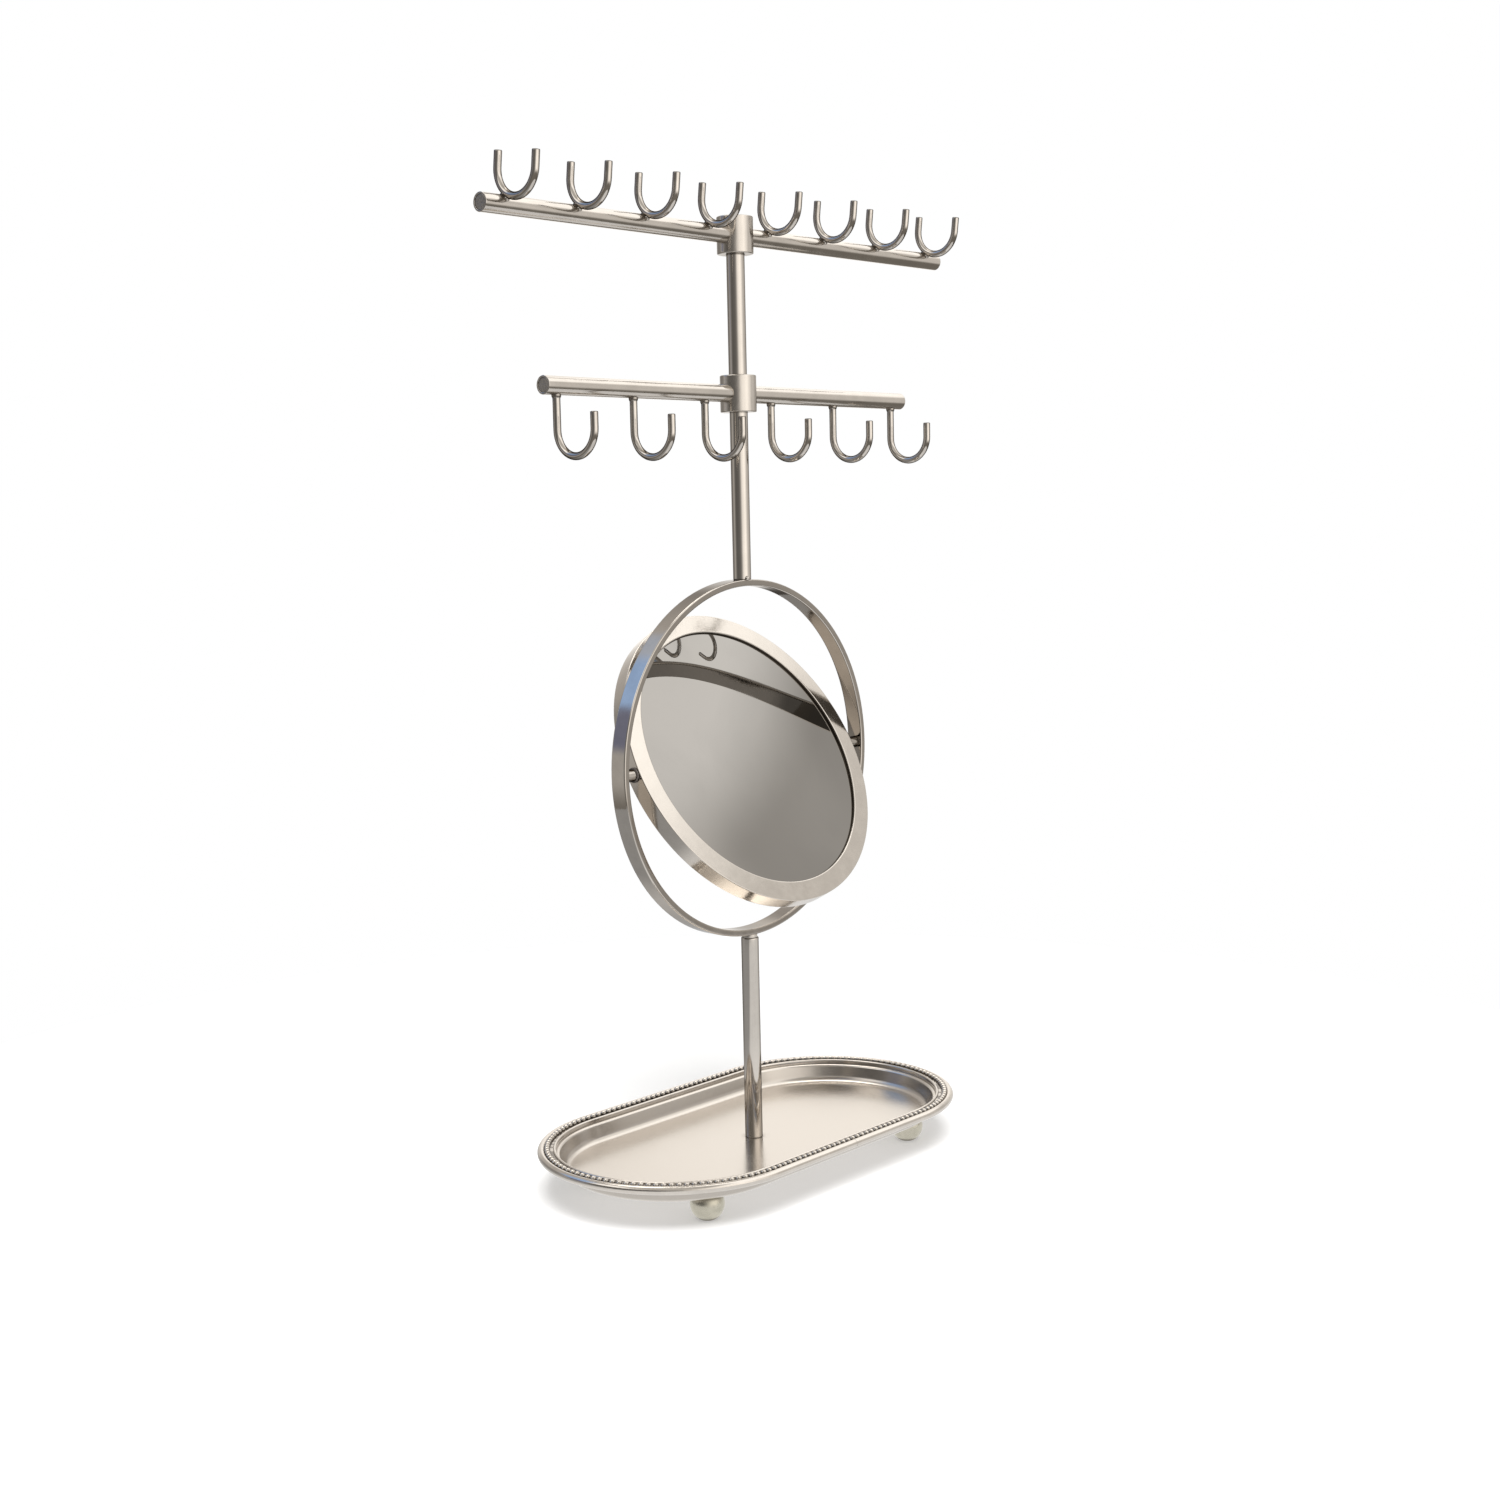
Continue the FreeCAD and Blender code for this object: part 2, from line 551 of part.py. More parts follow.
# ---------------------------------------------------------------- crossbars
def make_tee(label, height, capped):
    """Sleeve that holds both halves of a crossbar to the post."""
    half = "tee_height / 2"
    cap = f"{half} - tee_cap_thickness"
    top = [(0, half), (0, cap), ("tee_bore_radius", cap)] if capped else [("tee_bore_radius", half)]
    body = turned(label, [
        ("tee_bore_radius", f"-{half}"),
        ("tee_radius - tee_edge_radius", f"-{half}", "tee_edge_radius", "left"),
        ("tee_radius", f"-{half} + tee_edge_radius"),
        ("tee_radius", f"{half} - tee_edge_radius", "tee_edge_radius", "left"),
        ("tee_radius - tee_edge_radius", half),
        *top,
    ], z=height)
    sketch = new_sketch(body, f"{label}_cross_hole", "YZ_Plane")
    draw_circle(sketch, 0, 0, "cross_bore_radius")
    drill(body, f"{label}_cross_opening", sketch)


def make_bar(label, plug_label, height, length, turn):
    """Half of a crossbar, its inner end coped round the post, and the plug in its outer end."""
    body = turned(label, sleeve(0, length, "bar_bore_radius", "bar_radius"), axis="x", z=height, turn=turn)
    sketch = new_sketch(body, f"{label}_cope", "XY_Plane")
    draw_circle(sketch, 0, 0, "bar_cope_radius")
    drill(body, f"{label}_coped_end", sketch)
    face = f"{length} - plug_recess"
    turned(plug_label, sleeve(f"{face} - plug_length", face, 0, "bar_bore_radius - fit_clearance"),
           axis="x", z=height, turn=turn)


def add_bend(body, y, z):
    """Half a circle of wire, open upwards, with its centre at (y, z)."""
    sketch = new_sketch(body, f"{body.Label}_wire", "XY_Plane", y=y, z=z)
    draw_circle(sketch, 0, "-hook_radius", "wire_radius")
    revolve(body, f"{body.Label}_bend", sketch, "H_Axis", HALF_TURN)


def add_leg(body, name, y, z, rise, tip_round):
    """Upright piece of wire from (y, z), rounded at its top."""
    sketch = new_sketch(body, f"{body.Label}_{name}", "XZ_Plane", y=z, z=f"-({y})")
    draw_outline(sketch, [
        (0, 0),
        ("wire_radius", 0),
        ("wire_radius", f"{rise} - {tip_round}", tip_round, "left"),
        (f"wire_radius - {tip_round}", rise),
        (0, rise),
    ])
    revolve(body, f"{body.Label}_{name}_turned", sketch, "V_Axis")


def add_solder(body, y, z):
    """Bead of solder at (y, z), then the hollow that the crossbar makes in bead and wire."""
    bead = body.newObject("PartDesign::AdditiveSphere", f"{body.Label}_solder")
    bead.AttachmentSupport = [(origin_plane(body, "XY_Plane"), "")]
    bead.MapMode = "FlatFace"
    bead.setExpression("Radius", bound("solder_radius"))
    bead.setExpression("AttachmentOffset.Base.y", bound(y))
    bead.setExpression("AttachmentOffset.Base.z", bound(z))
    sketch = new_sketch(body, f"{body.Label}_bar_outline", "YZ_Plane")
    draw_circle(sketch, 0, 0, "bar_radius")
    drill(body, f"{body.Label}_bar_hollow", sketch)


def make_upper_hook(label, x):
    """Hook that stands on the crossbar and opens upwards."""
    body = new_body(label, x=x, z="top_bar_height", turn=("x", "upper_hook_lean"))
    add_bend(body, "upper_bend_y", "upper_bend_z")
    for name, y in (("front_leg", "upper_bend_y - hook_radius"), ("rear_leg", "upper_bend_y + hook_radius")):
        add_leg(body, name, y, "upper_bend_z", "hook_tip_rise", "hook_tip_round")
    add_solder(body, "-bar_radius * sin(upper_hook_seat)", "bar_radius * cos(upper_hook_seat)")


def make_lower_hook(label, x):
    """Hook that hangs under the crossbar and opens upwards, in front of it."""
    body = new_body(label, x=x, z="mid_bar_height")
    add_bend(body, "-hook_radius", "-lower_hook_drop")
    add_leg(body, "front_leg", "-2 * hook_radius", "-lower_hook_drop", "hook_tip_rise", "hook_tip_round")
    add_leg(body, "rear_leg", 0, "-lower_hook_drop", "lower_hook_drop", "hook_tip_round")
    add_solder(body, 0, "-bar_radius")


def make_crossbars():
    """Both crossbars with their sleeves, plugs and hooks."""
    make_tee("mid_tee", "mid_bar_height", capped=False)
    make_tee("top_tee", "top_bar_height", capped=True)
    for level in ("mid", "top"):
        for side, turn in (("left", ("z", "180")), ("right", None)):
            make_bar(f"{level}_bar_{side}", f"{level}_bar_plug_{side}", f"{level}_bar_height",
                     f"{level}_bar_length / 2", turn)
    rows = ((UPPER_HOOKS, "upper_hook", make_upper_hook), (LOWER_HOOKS, "lower_hook", make_lower_hook))
    for count, name, builder in rows:
        for index in range(count):
            builder(f"{name}_{index + 1}", f"{name}_pitch * {index - (count - 1) / 2}")


# ---------------------------------------------------------------- mirror
def make_frame():
    """Shallow round pan with an open front, a back edge to take the plate, and two bosses for the pins."""
    turn = ("x", "-mirror_tilt")
    body = turned("mirror_frame", [
        ("bezel_inner_radius + bezel_lip_chamfer", "mirror_front"),
        ("mirror_radius - frame_edge_radius", "mirror_front", "frame_edge_radius", "left"),
        ("mirror_radius", "mirror_front + frame_edge_radius"),
        ("mirror_radius", "mirror_rear - frame_edge_radius", "frame_edge_radius", "left"),
        ("mirror_radius - frame_edge_radius", "mirror_rear"),
        ("frame_bore_radius", "mirror_rear"),
        ("frame_bore_radius", "glass_front"),
        ("bezel_inner_radius", "glass_front"),
        ("bezel_inner_radius", "mirror_front + bezel_lip_chamfer"),
    ], axis="y", z="hoop_centre_height", turn=turn)
    sketch = new_sketch(body, "frame_boss", "YZ_Plane", z="boss_inner_end")
    draw_circle(sketch, 0, 0, "boss_diameter / 2")
    boss = pad(body, "frame_right_boss", sketch, "frame_bore_radius + frame_wall / 2 - boss_inner_end")
    mirror(body, "frame_left_boss", [boss], "YZ_Plane")
    bore = new_sketch(body, "frame_pivot_bore", "YZ_Plane")
    draw_circle(bore, 0, 0, "pivot_bore_radius")
    drill(body, "frame_pivot_openings", bore)
    for label, radius, front, rear in (
            ("mirror_glass", "glass_radius", "glass_front", "glass_rear"),
            ("backing_pad", "glass_radius", "glass_rear", "back_plate_front"),
            ("back_plate", "frame_bore_radius - fit_clearance", "back_plate_front", "back_plate_rear")):
        turned(label, ring(0, radius, front, rear), axis="y", z="hoop_centre_height", turn=turn)


def make_pivots():
    """On each side a pin, fixed in the hoop, with a spacer and a thin washer on it."""
    for side, turn in (("left", ("z", "180")), ("right", None)):
        place = {"axis": "x", "z": "hoop_centre_height", "turn": turn}
        turned(f"pivot_pin_{side}", sleeve("pin_inner_end", "hoop_radius - fit_clearance",
                                           0, "pin_radius"), **place)
        turned(f"pivot_spacer_{side}", sleeve("washer_outer_end", "spacer_outer_end",
                                              "pivot_bore_radius", "spacer_diameter / 2"), **place)
        turned(f"pivot_washer_{side}", sleeve("washer_inner_end", "washer_outer_end",
                                              "pivot_bore_radius", "friction_washer_diameter / 2"), **place)


# ---------------------------------------------------------------- build, check and write
make_foundation()
make_crossbars()
make_frame()
make_pivots()
doc.recompute()

os.makedirs("parts", exist_ok=True)
for item in doc.Objects:
    if "Invalid" in item.State or "Error" in item.State:
        raise RuntimeError(f"{item.Name}: {item.State}")
for body in [item for item in doc.Objects if item.TypeId == "PartDesign::Body"]:
    shape = body.Shape
    if shape.isNull() or not shape.isValid() or len(shape.Solids) != 1:
        raise RuntimeError(f"{body.Label} is not one sound solid")
    shape.exportStep(f"parts/{body.Label}.step")
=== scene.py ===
import bmesh
import bpy
import math
from bpy.props import FloatProperty, FloatVectorProperty, IntProperty, PointerProperty
from bpy.types import Operator, Panel, PropertyGroup
from mathutils import Matrix, Vector


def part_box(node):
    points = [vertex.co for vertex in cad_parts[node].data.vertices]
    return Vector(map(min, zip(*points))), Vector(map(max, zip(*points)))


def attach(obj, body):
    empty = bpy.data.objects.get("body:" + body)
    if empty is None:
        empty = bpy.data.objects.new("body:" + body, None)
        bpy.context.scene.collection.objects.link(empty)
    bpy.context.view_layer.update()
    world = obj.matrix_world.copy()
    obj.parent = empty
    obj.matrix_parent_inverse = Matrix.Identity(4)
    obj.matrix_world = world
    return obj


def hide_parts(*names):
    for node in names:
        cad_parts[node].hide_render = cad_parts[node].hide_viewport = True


bl_info = {
    "name": "Jewelry Stand",
    "version": (1, 0, 0),
    "blender": (4, 5, 0),
    "location": "View3D > Sidebar > Jewelry Stand",
    "description": "Finishes a metal jewelry stand: beaded tray, mirror in a hoop, crossbars and hooks",
    "category": "Add Mesh",
}

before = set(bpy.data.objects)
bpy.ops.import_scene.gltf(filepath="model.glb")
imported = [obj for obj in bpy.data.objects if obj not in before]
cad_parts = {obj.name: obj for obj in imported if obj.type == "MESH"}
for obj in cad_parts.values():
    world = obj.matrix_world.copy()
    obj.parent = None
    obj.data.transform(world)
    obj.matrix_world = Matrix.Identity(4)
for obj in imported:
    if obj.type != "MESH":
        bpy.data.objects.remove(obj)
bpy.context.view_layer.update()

# Lengths in metres: a millimetre, the distance at which points are merged, the posts' and crossbars' wall.
MM = 0.001
MERGE = 0.001 * MM
TUBE_WALL = 1 * MM

# Each side and how far a piece drawn for the right is turned to stand there.
SIDES = (("left", math.pi), ("right", 0))

# Noise runs mostly between these values.
NOISE_SPAN = (0.3, 0.7)
WHITE = (1, 1, 1, 1)

# The studio's bearings are counted from the camera, positive to its right.
STUDIO_TURN = math.radians(137.6)
CAMERA_LEFT = (-0.738, 0.674, 0)

# Light along the horizon: bearing in degrees and brightness.
HORIZON = (
    (-180, 1.3), (-155, 0.75), (-132, 0.34), (-110, 0.32), (-95, 0.52), (-82, 0.42), (-71, 0.2),
    (-55, 0.14), (-26, 0.16), (-12, 0.21), (-3, 0.32), (5, 0.5), (14, 0.95), (29, 1.3), (58, 1.5),
    (75, 1.15), (93, 0.72), (112, 0.78), (125, 0.66), (150, 0.85), (180, 1.3),
)
HORIZON_TINT = (1, 0.965, 0.92)
CEILING_TINT = (1, 0.985, 0.96)
GROUND_COLOUR = (0.2, 0.185, 0.165, 1)
FILL_COLOUR = (0.5, 0.495, 0.485, 1)

# Cards in the studio: bearing from the camera and height in degrees, soft edge, middle, colour.
CARDS = (
    (-142, 50, 42, 26, (0.56, 0.53, 0.5)),
    (0, 58, 40, 24, (0.62, 0.6, 0.565)),
    (-117, 46, 13, 7, (0.56, 0.62, 0.74)),
    (-98, 34, 18, 10, (0.4, 0.58, 0.92)),
    (-170, 69, 19, 14, (3, 2.93, 2.81)),
    (-88, 15, 13, 7, (0.2, 0.21, 0.29)),
)


def half_width(node, axis):
    """Half of a CAD node's size along one axis."""
    low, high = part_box(node)
    return (high[axis] - low[axis]) / 2


def centre(node, axis):
    """The middle of a CAD node along one axis."""
    low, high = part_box(node)
    return (high[axis] + low[axis]) / 2


HOOP_RADIUS = half_width("hoop", 0)
HOOP_HEIGHT = centre("hoop", 2)
POST_RADIUS = half_width("lower_post", 0)
TOP_BAR_HEIGHT = centre("top_bar_left", 2)
MID_BAR_HEIGHT = centre("mid_bar_left", 2)
TOP_BAR_REACH = -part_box("top_bar_left")[0].x
MID_BAR_REACH = -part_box("mid_bar_left")[0].x
BAR_RADIUS = half_width("top_bar_left", 1)
TRAY_END_RADIUS = half_width("rim_border_left", 1)
TRAY_END_OFFSET = -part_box("rim_border_left")[0].x - TRAY_END_RADIUS
UPPER_PITCH = centre("upper_hook_2", 0) - centre("upper_hook_1", 0)
LOWER_PITCH = centre("lower_hook_2", 0) - centre("lower_hook_1", 0)


# ---------------------------------------------------------------- settings that a user would change
class StandSizes(PropertyGroup):
    edge_break: FloatProperty(
        name="Edge break", description="Radius of the small rounded edges on turned parts",
        default=0.25 * MM, min=0.05 * MM, max=1 * MM, unit="LENGTH", precision=5)
    bead_radius: FloatProperty(
        name="Bead radius", description="Radius of one bead of the tray's border",
        default=1.8 * MM, min=0.5 * MM, max=3 * MM, unit="LENGTH", precision=5)
    bead_spacing: FloatProperty(
        name="Bead spacing", description="Wished distance from bead to bead",
        default=4 * MM, min=1 * MM, max=8 * MM, unit="LENGTH", precision=5)
    wire_radius: FloatProperty(
        name="Hook wire radius", description="Radius of the hooks' wire",
        default=2 * MM, min=0.5 * MM, max=4 * MM, unit="LENGTH", precision=5)
    bend_radius: FloatProperty(
        name="Hook bend radius", description="Bend of the hooks, to the wire's centre",
        default=13.5 * MM, min=5 * MM, max=30 * MM, unit="LENGTH", precision=5)
    tip_rise: FloatProperty(
        name="Hook tip rise", description="Straight end above the bend",
        default=8 * MM, min=0, max=30 * MM, unit="LENGTH", precision=5)
    hook_lean: FloatProperty(
        name="Upper hooks' lean", description="How far the upper hooks lean forward",
        default=math.radians(6.5), min=0, max=math.radians(45), subtype="ANGLE")
    mirror_tilt: FloatProperty(
        name="Mirror tilt", description="How far the mirror's top leans back",
        default=math.radians(29.4), min=math.radians(-90), max=math.radians(90), subtype="ANGLE")
    facets: IntProperty(
        name="Facets", description="Facets round the hoop, the mirror and the tray's ends",
        default=160, min=48, max=512)


class StandFinish(PropertyGroup):
    nickel: FloatVectorProperty(
        name="Nickel", description="Colour of the warm nickel plate", subtype="COLOR",
        size=3, min=0, max=1, default=(0.66, 0.615, 0.562))
    # This colour serves both as the patina and as the painted shade in recesses, on turned-away edges and
    # wherever darkness is stored on a piece.
    patina: FloatVectorProperty(
        name="Patina", description="Colour of the dark patina left in the recesses", subtype="COLOR",
        size=3, min=0, max=1, default=(0.11, 0.09, 0.07))
    foot: FloatVectorProperty(
        name="Feet", description="Colour of the aged feet", subtype="COLOR",
        size=3, min=0, max=1, default=(0.55, 0.52, 0.43))
    glass: FloatVectorProperty(
        name="Mirror", description="Tint of the mirror's silvering", subtype="COLOR",
        size=3, min=0, max=1, default=(0.35, 0.335, 0.315))
    polish: FloatProperty(
        name="Polish", description="Roughness of the posts and crossbars",
        default=0.1, min=0.02, max=1, subtype="FACTOR")
    satin: FloatProperty(
        name="Satin", description="Roughness of the tray's floor",
        default=0.22, min=0.02, max=1, subtype="FACTOR")


class StudioSettings(PropertyGroup):
    floor_radius: FloatProperty(
        name="Floor radius", description="Radius of the round pale floor",
        default=0.62, min=0.3, max=5, unit="LENGTH")
    dome: FloatProperty(
        name="Overhead light", description="Strength of the soft light overhead",
        default=1.55, min=0, max=5)
    lens: FloatProperty(
        name="Lens", description="Camera's focal length in millimetres",
        default=47.67, min=10, max=300)


# ---------------------------------------------------------------- outlines and meshes
def rounded(corners, steps=5, hold=0.35 * MM):
    """Closed outline from (a, b, radius) corners: arcs at the corners, and a point held beside each arc.

    The held points keep the shading of the long flats apart from that of the small rounded edges.
    """
    outline = []
    count = len(corners)
    for index, (a, b, radius) in enumerate(corners):
        here = Vector((a, b))
        before = Vector(corners[index - 1][:2]) - here
        after = Vector(corners[(index + 1) % count][:2]) - here
        if radius <= 0:
            outline.append(here)
            continue
        inward, outward = before.normalized(), after.normalized()
        opening = inward.angle(outward)
        reach = radius / math.tan(opening / 2)
        middle = here + (inward + outward).normalized() * (radius / math.sin(opening / 2))
        start, end = here + inward * reach, here + outward * reach
        if before.length > reach + 2 * hold:
            outline.append(start + inward * hold)
        first, last = start - middle, end - middle
        turn = first.angle_signed(last)
        for step in range(steps + 1):
            angle = -turn * step / steps
            outline.append(middle + Matrix.Rotation(angle, 2) @ first)
        if after.length > reach + 2 * hold:
            outline.append(end + outward * hold)
    return [(point.x, point.y) for point in outline]


def new_piece(name, mesh):
    """A new object at the origin that holds the mesh."""
    piece = bpy.data.objects.new(name, mesh)
    bpy.context.scene.collection.objects.link(piece)
    return piece


def closed_mesh(name, sheet, sharp=35):
    """Merge doubles, drop slivers, turn faces outwards and shade smooth but for edges over sharp degrees."""
    bmesh.ops.remove_doubles(sheet, verts=sheet.verts, dist=MERGE)
    bmesh.ops.dissolve_degenerate(sheet, edges=sheet.edges, dist=MERGE)
    bmesh.ops.recalc_face_normals(sheet, faces=sheet.faces)
    mesh = bpy.data.meshes.new(name)
    sheet.to_mesh(mesh)
    sheet.free()
    mesh.shade_smooth()
    mesh.set_sharp_from_angle(angle=math.radians(sharp))
    return mesh


def arc_points(across, up, radius, start, end, steps):
    """Points on an arc round (across, up), from one angle to another."""
    angles = [start + (end - start) * step / steps for step in range(steps + 1)]
    return [(across + radius * math.cos(angle), up + radius * math.sin(angle)) for angle in angles]


def skin(sheet, rings, closed=True, place=Matrix()):
    """Quads between rings of equal length; closed joins the last ring to the first. Gives back the rings."""
    made = [[sheet.verts.new(place @ Vector(point)) for point in ring] for ring in rings]
    pairs = list(zip(made, made[1:]))
    if closed:
        pairs.append((made[-1], made[0]))
    for ring, following in pairs:
        for index in range(len(ring)):
            after = (index + 1) % len(ring)
            sheet.faces.new((ring[index], ring[after], following[after], following[index]))
    return made


def turned(sheet, outline, axis="z", facets=64, place=Matrix()):
    """Turn a closed outline of (radius, along) once round an axis."""
    spots = {
        "x": lambda radius, along, across, up: (along, radius * across, radius * up),
        "y": lambda radius, along, across, up: (radius * across, along, radius * up),
        "z": lambda radius, along, across, up: (radius * across, radius * up, along),
    }
    rings = []
    for facet in range(facets):
        angle = math.tau * facet / facets
        rings.append([spots[axis](*point, math.cos(angle), math.sin(angle)) for point in outline])
    skin(sheet, rings, place=place)


def tube(sheet, path, radii, sides=20, across=Vector((1, 0, 0))):
    """Round bar along a path that lies square to one direction, with a radius at each point.

    Gives back its rings of points.
    """
    rings = []
    for index, point in enumerate(path):
        before = path[max(index - 1, 0)]
        after = path[min(index + 1, len(path) - 1)]
        ahead = (after - before).normalized()
        side = ahead.cross(across).normalized()
        rings.append([
            point + (across * math.cos(math.tau * step / sides) + side * math.sin(math.tau * step / sides))
            * radii[index] for step in range(sides)])
    made = skin(sheet, rings, False)
    sheet.faces.new(made[0])
    sheet.faces.new(list(reversed(made[-1])))
    return made


def ball(sheet, middle, radius):
    """Ball with its own closed skin; gives back its points."""
    made = bmesh.ops.create_uvsphere(sheet, u_segments=20, v_segments=12, radius=radius,
                                     matrix=Matrix.Translation(Vector(middle)))
    return made["verts"]


def paint_shade(sheet, painted_shade_at, place=Matrix()):
    """Store the painted shade's darkness at each point, from where the point lies on the unplaced piece."""
    darkness = sheet.verts.layers.float.new("patina")
    back = place.inverted()
    for point in sheet.verts:
        point[darkness] = painted_shade_at(back @ point.co)


def half_tray(facets):
    """(centre x, direction) stations round the right-hand end of the tray, from front to rear."""
    steps = round(facets / 2)
    return [(TRAY_END_OFFSET, math.radians(180 * step / steps - 90)) for step in range(steps + 1)]


def sleeve(bore, outer, start, end, *edges):
    """Corners of a turned sleeve, or of a pin where bore is 0; edges are the four corners' radii in order."""
    spots = ((bore, start), (outer, start), (outer, end), (bore, end))
    return [(*spot, edge) for spot, edge in zip(spots, edges)]


def declare(piece, body, nodes, slot):
    """Let a piece stand for its CAD nodes on their body."""
    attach(piece, body)
    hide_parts(*nodes)


def finished(node, sheet, material, slot="brushed_nickel", body="stand", sharp=35):
    """Close the mesh that stands for one CAD node and give it its material."""
    piece = new_piece(f"{node}_finished", closed_mesh(f"{node}_finished", sheet, sharp))
    piece.data.materials.append(material)
    declare(piece, body, [node], slot)


def turned_piece(node, corners, material, slot="brushed_nickel", body="stand", axis="z", facets=64, steps=4,
                 place=Matrix(), painted_shade_at=None):
    """Turn rounded corners into the piece that stands for one CAD node."""
    sheet = bmesh.new()
    turned(sheet, rounded(corners, steps), axis, facets, place)
    if painted_shade_at:
        paint_shade(sheet, painted_shade_at, place)
    finished(node, sheet, material, slot, body)


def dress(node, material):
    """Give its material to a CAD node that keeps its own shape."""
    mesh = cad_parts[node].data
    mesh.materials.clear()
    mesh.materials.append(material)


def grown(piece, tree, values):
    """Run a Geometry Nodes tree on a piece with these inputs and keep the result as a plain mesh."""
    modifier = piece.modifiers.new(tree.name, "NODES")
    modifier.node_group = tree
    for item in tree.interface.items_tree:
        if item.in_out == "INPUT" and item.name in values:
            modifier[item.identifier] = values[item.name]
    graph = bpy.context.evaluated_depsgraph_get()
    mesh = bpy.data.meshes.new_from_object(piece.evaluated_get(graph), depsgraph=graph)
    piece.modifiers.clear()
    old = piece.data
    mesh.name = old.name
    piece.data = mesh
    bpy.data.meshes.remove(old)


# ---------------------------------------------------------------- nodes
def feed(tree, socket, value):
    """Link a socket to an input, or set the input to a plain value."""
    if isinstance(value, bpy.types.NodeSocket):
        tree.links.new(value, socket)
    else:
        socket.default_value = value


def add_node(tree, kind, inputs=None, **settings):
    """New node with its settings; its inputs, by name or number, are linked or set."""
    node = tree.nodes.new(kind)
    for key, value in settings.items():
        setattr(node, key, value)
    for key, value in (inputs or {}).items():
        feed(tree, node.inputs[key], value)
    return node


def math_node(tree, operation, *values, clamp=False):
    """Math node; each value is a socket or a number."""
    inputs = dict(enumerate(values))
    return add_node(tree, "ShaderNodeMath", inputs, operation=operation, use_clamp=clamp).outputs[0]


def vector_math(tree, operation, first, second=None, scale=None):
    """Vector Math node; first, second and scale are each a socket or a plain value."""
    inputs = {0: first, 1: second, "Scale": scale}
    given = {key: value for key, value in inputs.items() if value is not None}
    node = add_node(tree, "ShaderNodeVectorMath", given, operation=operation)
    return node.outputs["Value" if operation in ("DOT_PRODUCT", "LENGTH") else "Vector"]


def vector_of(tree, x=0, y=0, z=0):
    """Vector from three sockets or numbers."""
    return add_node(tree, "ShaderNodeCombineXYZ", {0: x, 1: y, 2: z}).outputs[0]


def parts_of(tree, vector):
    """The X, Y and Z of a vector, by name."""
    return add_node(tree, "ShaderNodeSeparateXYZ", {0: vector}).outputs


def mix_colour(tree, factor, first, second):
    """Mix node for colours; each colour is a socket or four numbers."""
    return add_node(tree, "ShaderNodeMix", {0: factor, 6: first, 7: second}, data_type="RGBA").outputs[2]


def map_range(tree, value, low, high, to_low, to_high, smooth=True):
    """Map Range node; each limit is a socket or a number."""
    limits = {"Value": value, "From Min": low, "From Max": high, "To Min": to_low, "To Max": to_high}
    kind = "SMOOTHSTEP" if smooth else "LINEAR"
    return add_node(tree, "ShaderNodeMapRange", limits, interpolation_type=kind).outputs["Result"]


def new_tree(name, kind, inputs, outputs):
    """Empty node tree with named inputs and outputs (name, type[, default]); gives back its two ends too."""
    tree = bpy.data.node_groups.new(name, kind)
    for label, socket in outputs:
        tree.interface.new_socket(label, in_out="OUTPUT", socket_type=f"NodeSocket{socket}")
    for label, socket, *default in inputs:
        made = tree.interface.new_socket(label, in_out="INPUT", socket_type=f"NodeSocket{socket}")
        if default:
            made.default_value = default[0]
    return tree, tree.nodes.new("NodeGroupInput").outputs, tree.nodes.new("NodeGroupOutput").inputs


def shared_tree(name, builder):
    """The node tree of that name, built on first use."""
    return bpy.data.node_groups.get(name) or builder(name)


def joined(tree, *sources):
    """Join Geometry node."""
    node = add_node(tree, "GeometryNodeJoinGeometry")
    for source in sources:
        tree.links.new(source, node.inputs[0])
    return node.outputs[0]


def made_real(tree, geometry, material):
    """Realize Instances and Set Material nodes."""
    real = add_node(tree, "GeometryNodeRealizeInstances", {0: geometry}).outputs[0]
    return add_node(tree, "GeometryNodeSetMaterial", {"Geometry": real, "Material": material}).outputs[0]


# ---------------------------------------------------------------- shader node groups and materials
def plate_wear_group(name):
    """Uneven plating: soft clouds and fine drawn lines, as a tone, a roughness and a height."""
    group, given, result = new_tree(
        name, "ShaderNodeTree",
        [("Cloud Scale", "Float", 90.0), ("Tone Change", "Float", 0.12), ("Roughness", "Float", 0.2),
         ("Roughness Change", "Float", 0.08), ("Grain", "Vector", (2500.0, 2500.0, 120.0))],
        [("Tone", "Float"), ("Roughness", "Float"), ("Height", "Float")])
    place = add_node(group, "ShaderNodeTexCoord").outputs["Object"]
    clouds = add_node(group, "ShaderNodeTexNoise", {
        "Vector": place, "Scale": given["Cloud Scale"], "Detail": 5, "Roughness": 0.6})
    spread = map_range(group, clouds.outputs["Fac"], *NOISE_SPAN, -1, 1)
    stretched = vector_math(group, "MULTIPLY", place, given["Grain"])
    lines = add_node(group, "ShaderNodeTexNoise", {"Vector": stretched, "Scale": 1, "Detail": 3})
    fine = map_range(group, lines.outputs["Fac"], *NOISE_SPAN, -1, 1)
    both = math_node(group, "MULTIPLY_ADD", fine, 0.5, spread)
    tone = math_node(group, "MULTIPLY", both, given["Tone Change"])
    feed(group, result["Tone"], math_node(group, "ADD", tone, 1.0))
    change = math_node(group, "MULTIPLY", both, given["Roughness Change"])
    feed(group, result["Roughness"], math_node(group, "ADD", change, given["Roughness"], clamp=True))
    feed(group, result["Height"], fine)
    return group


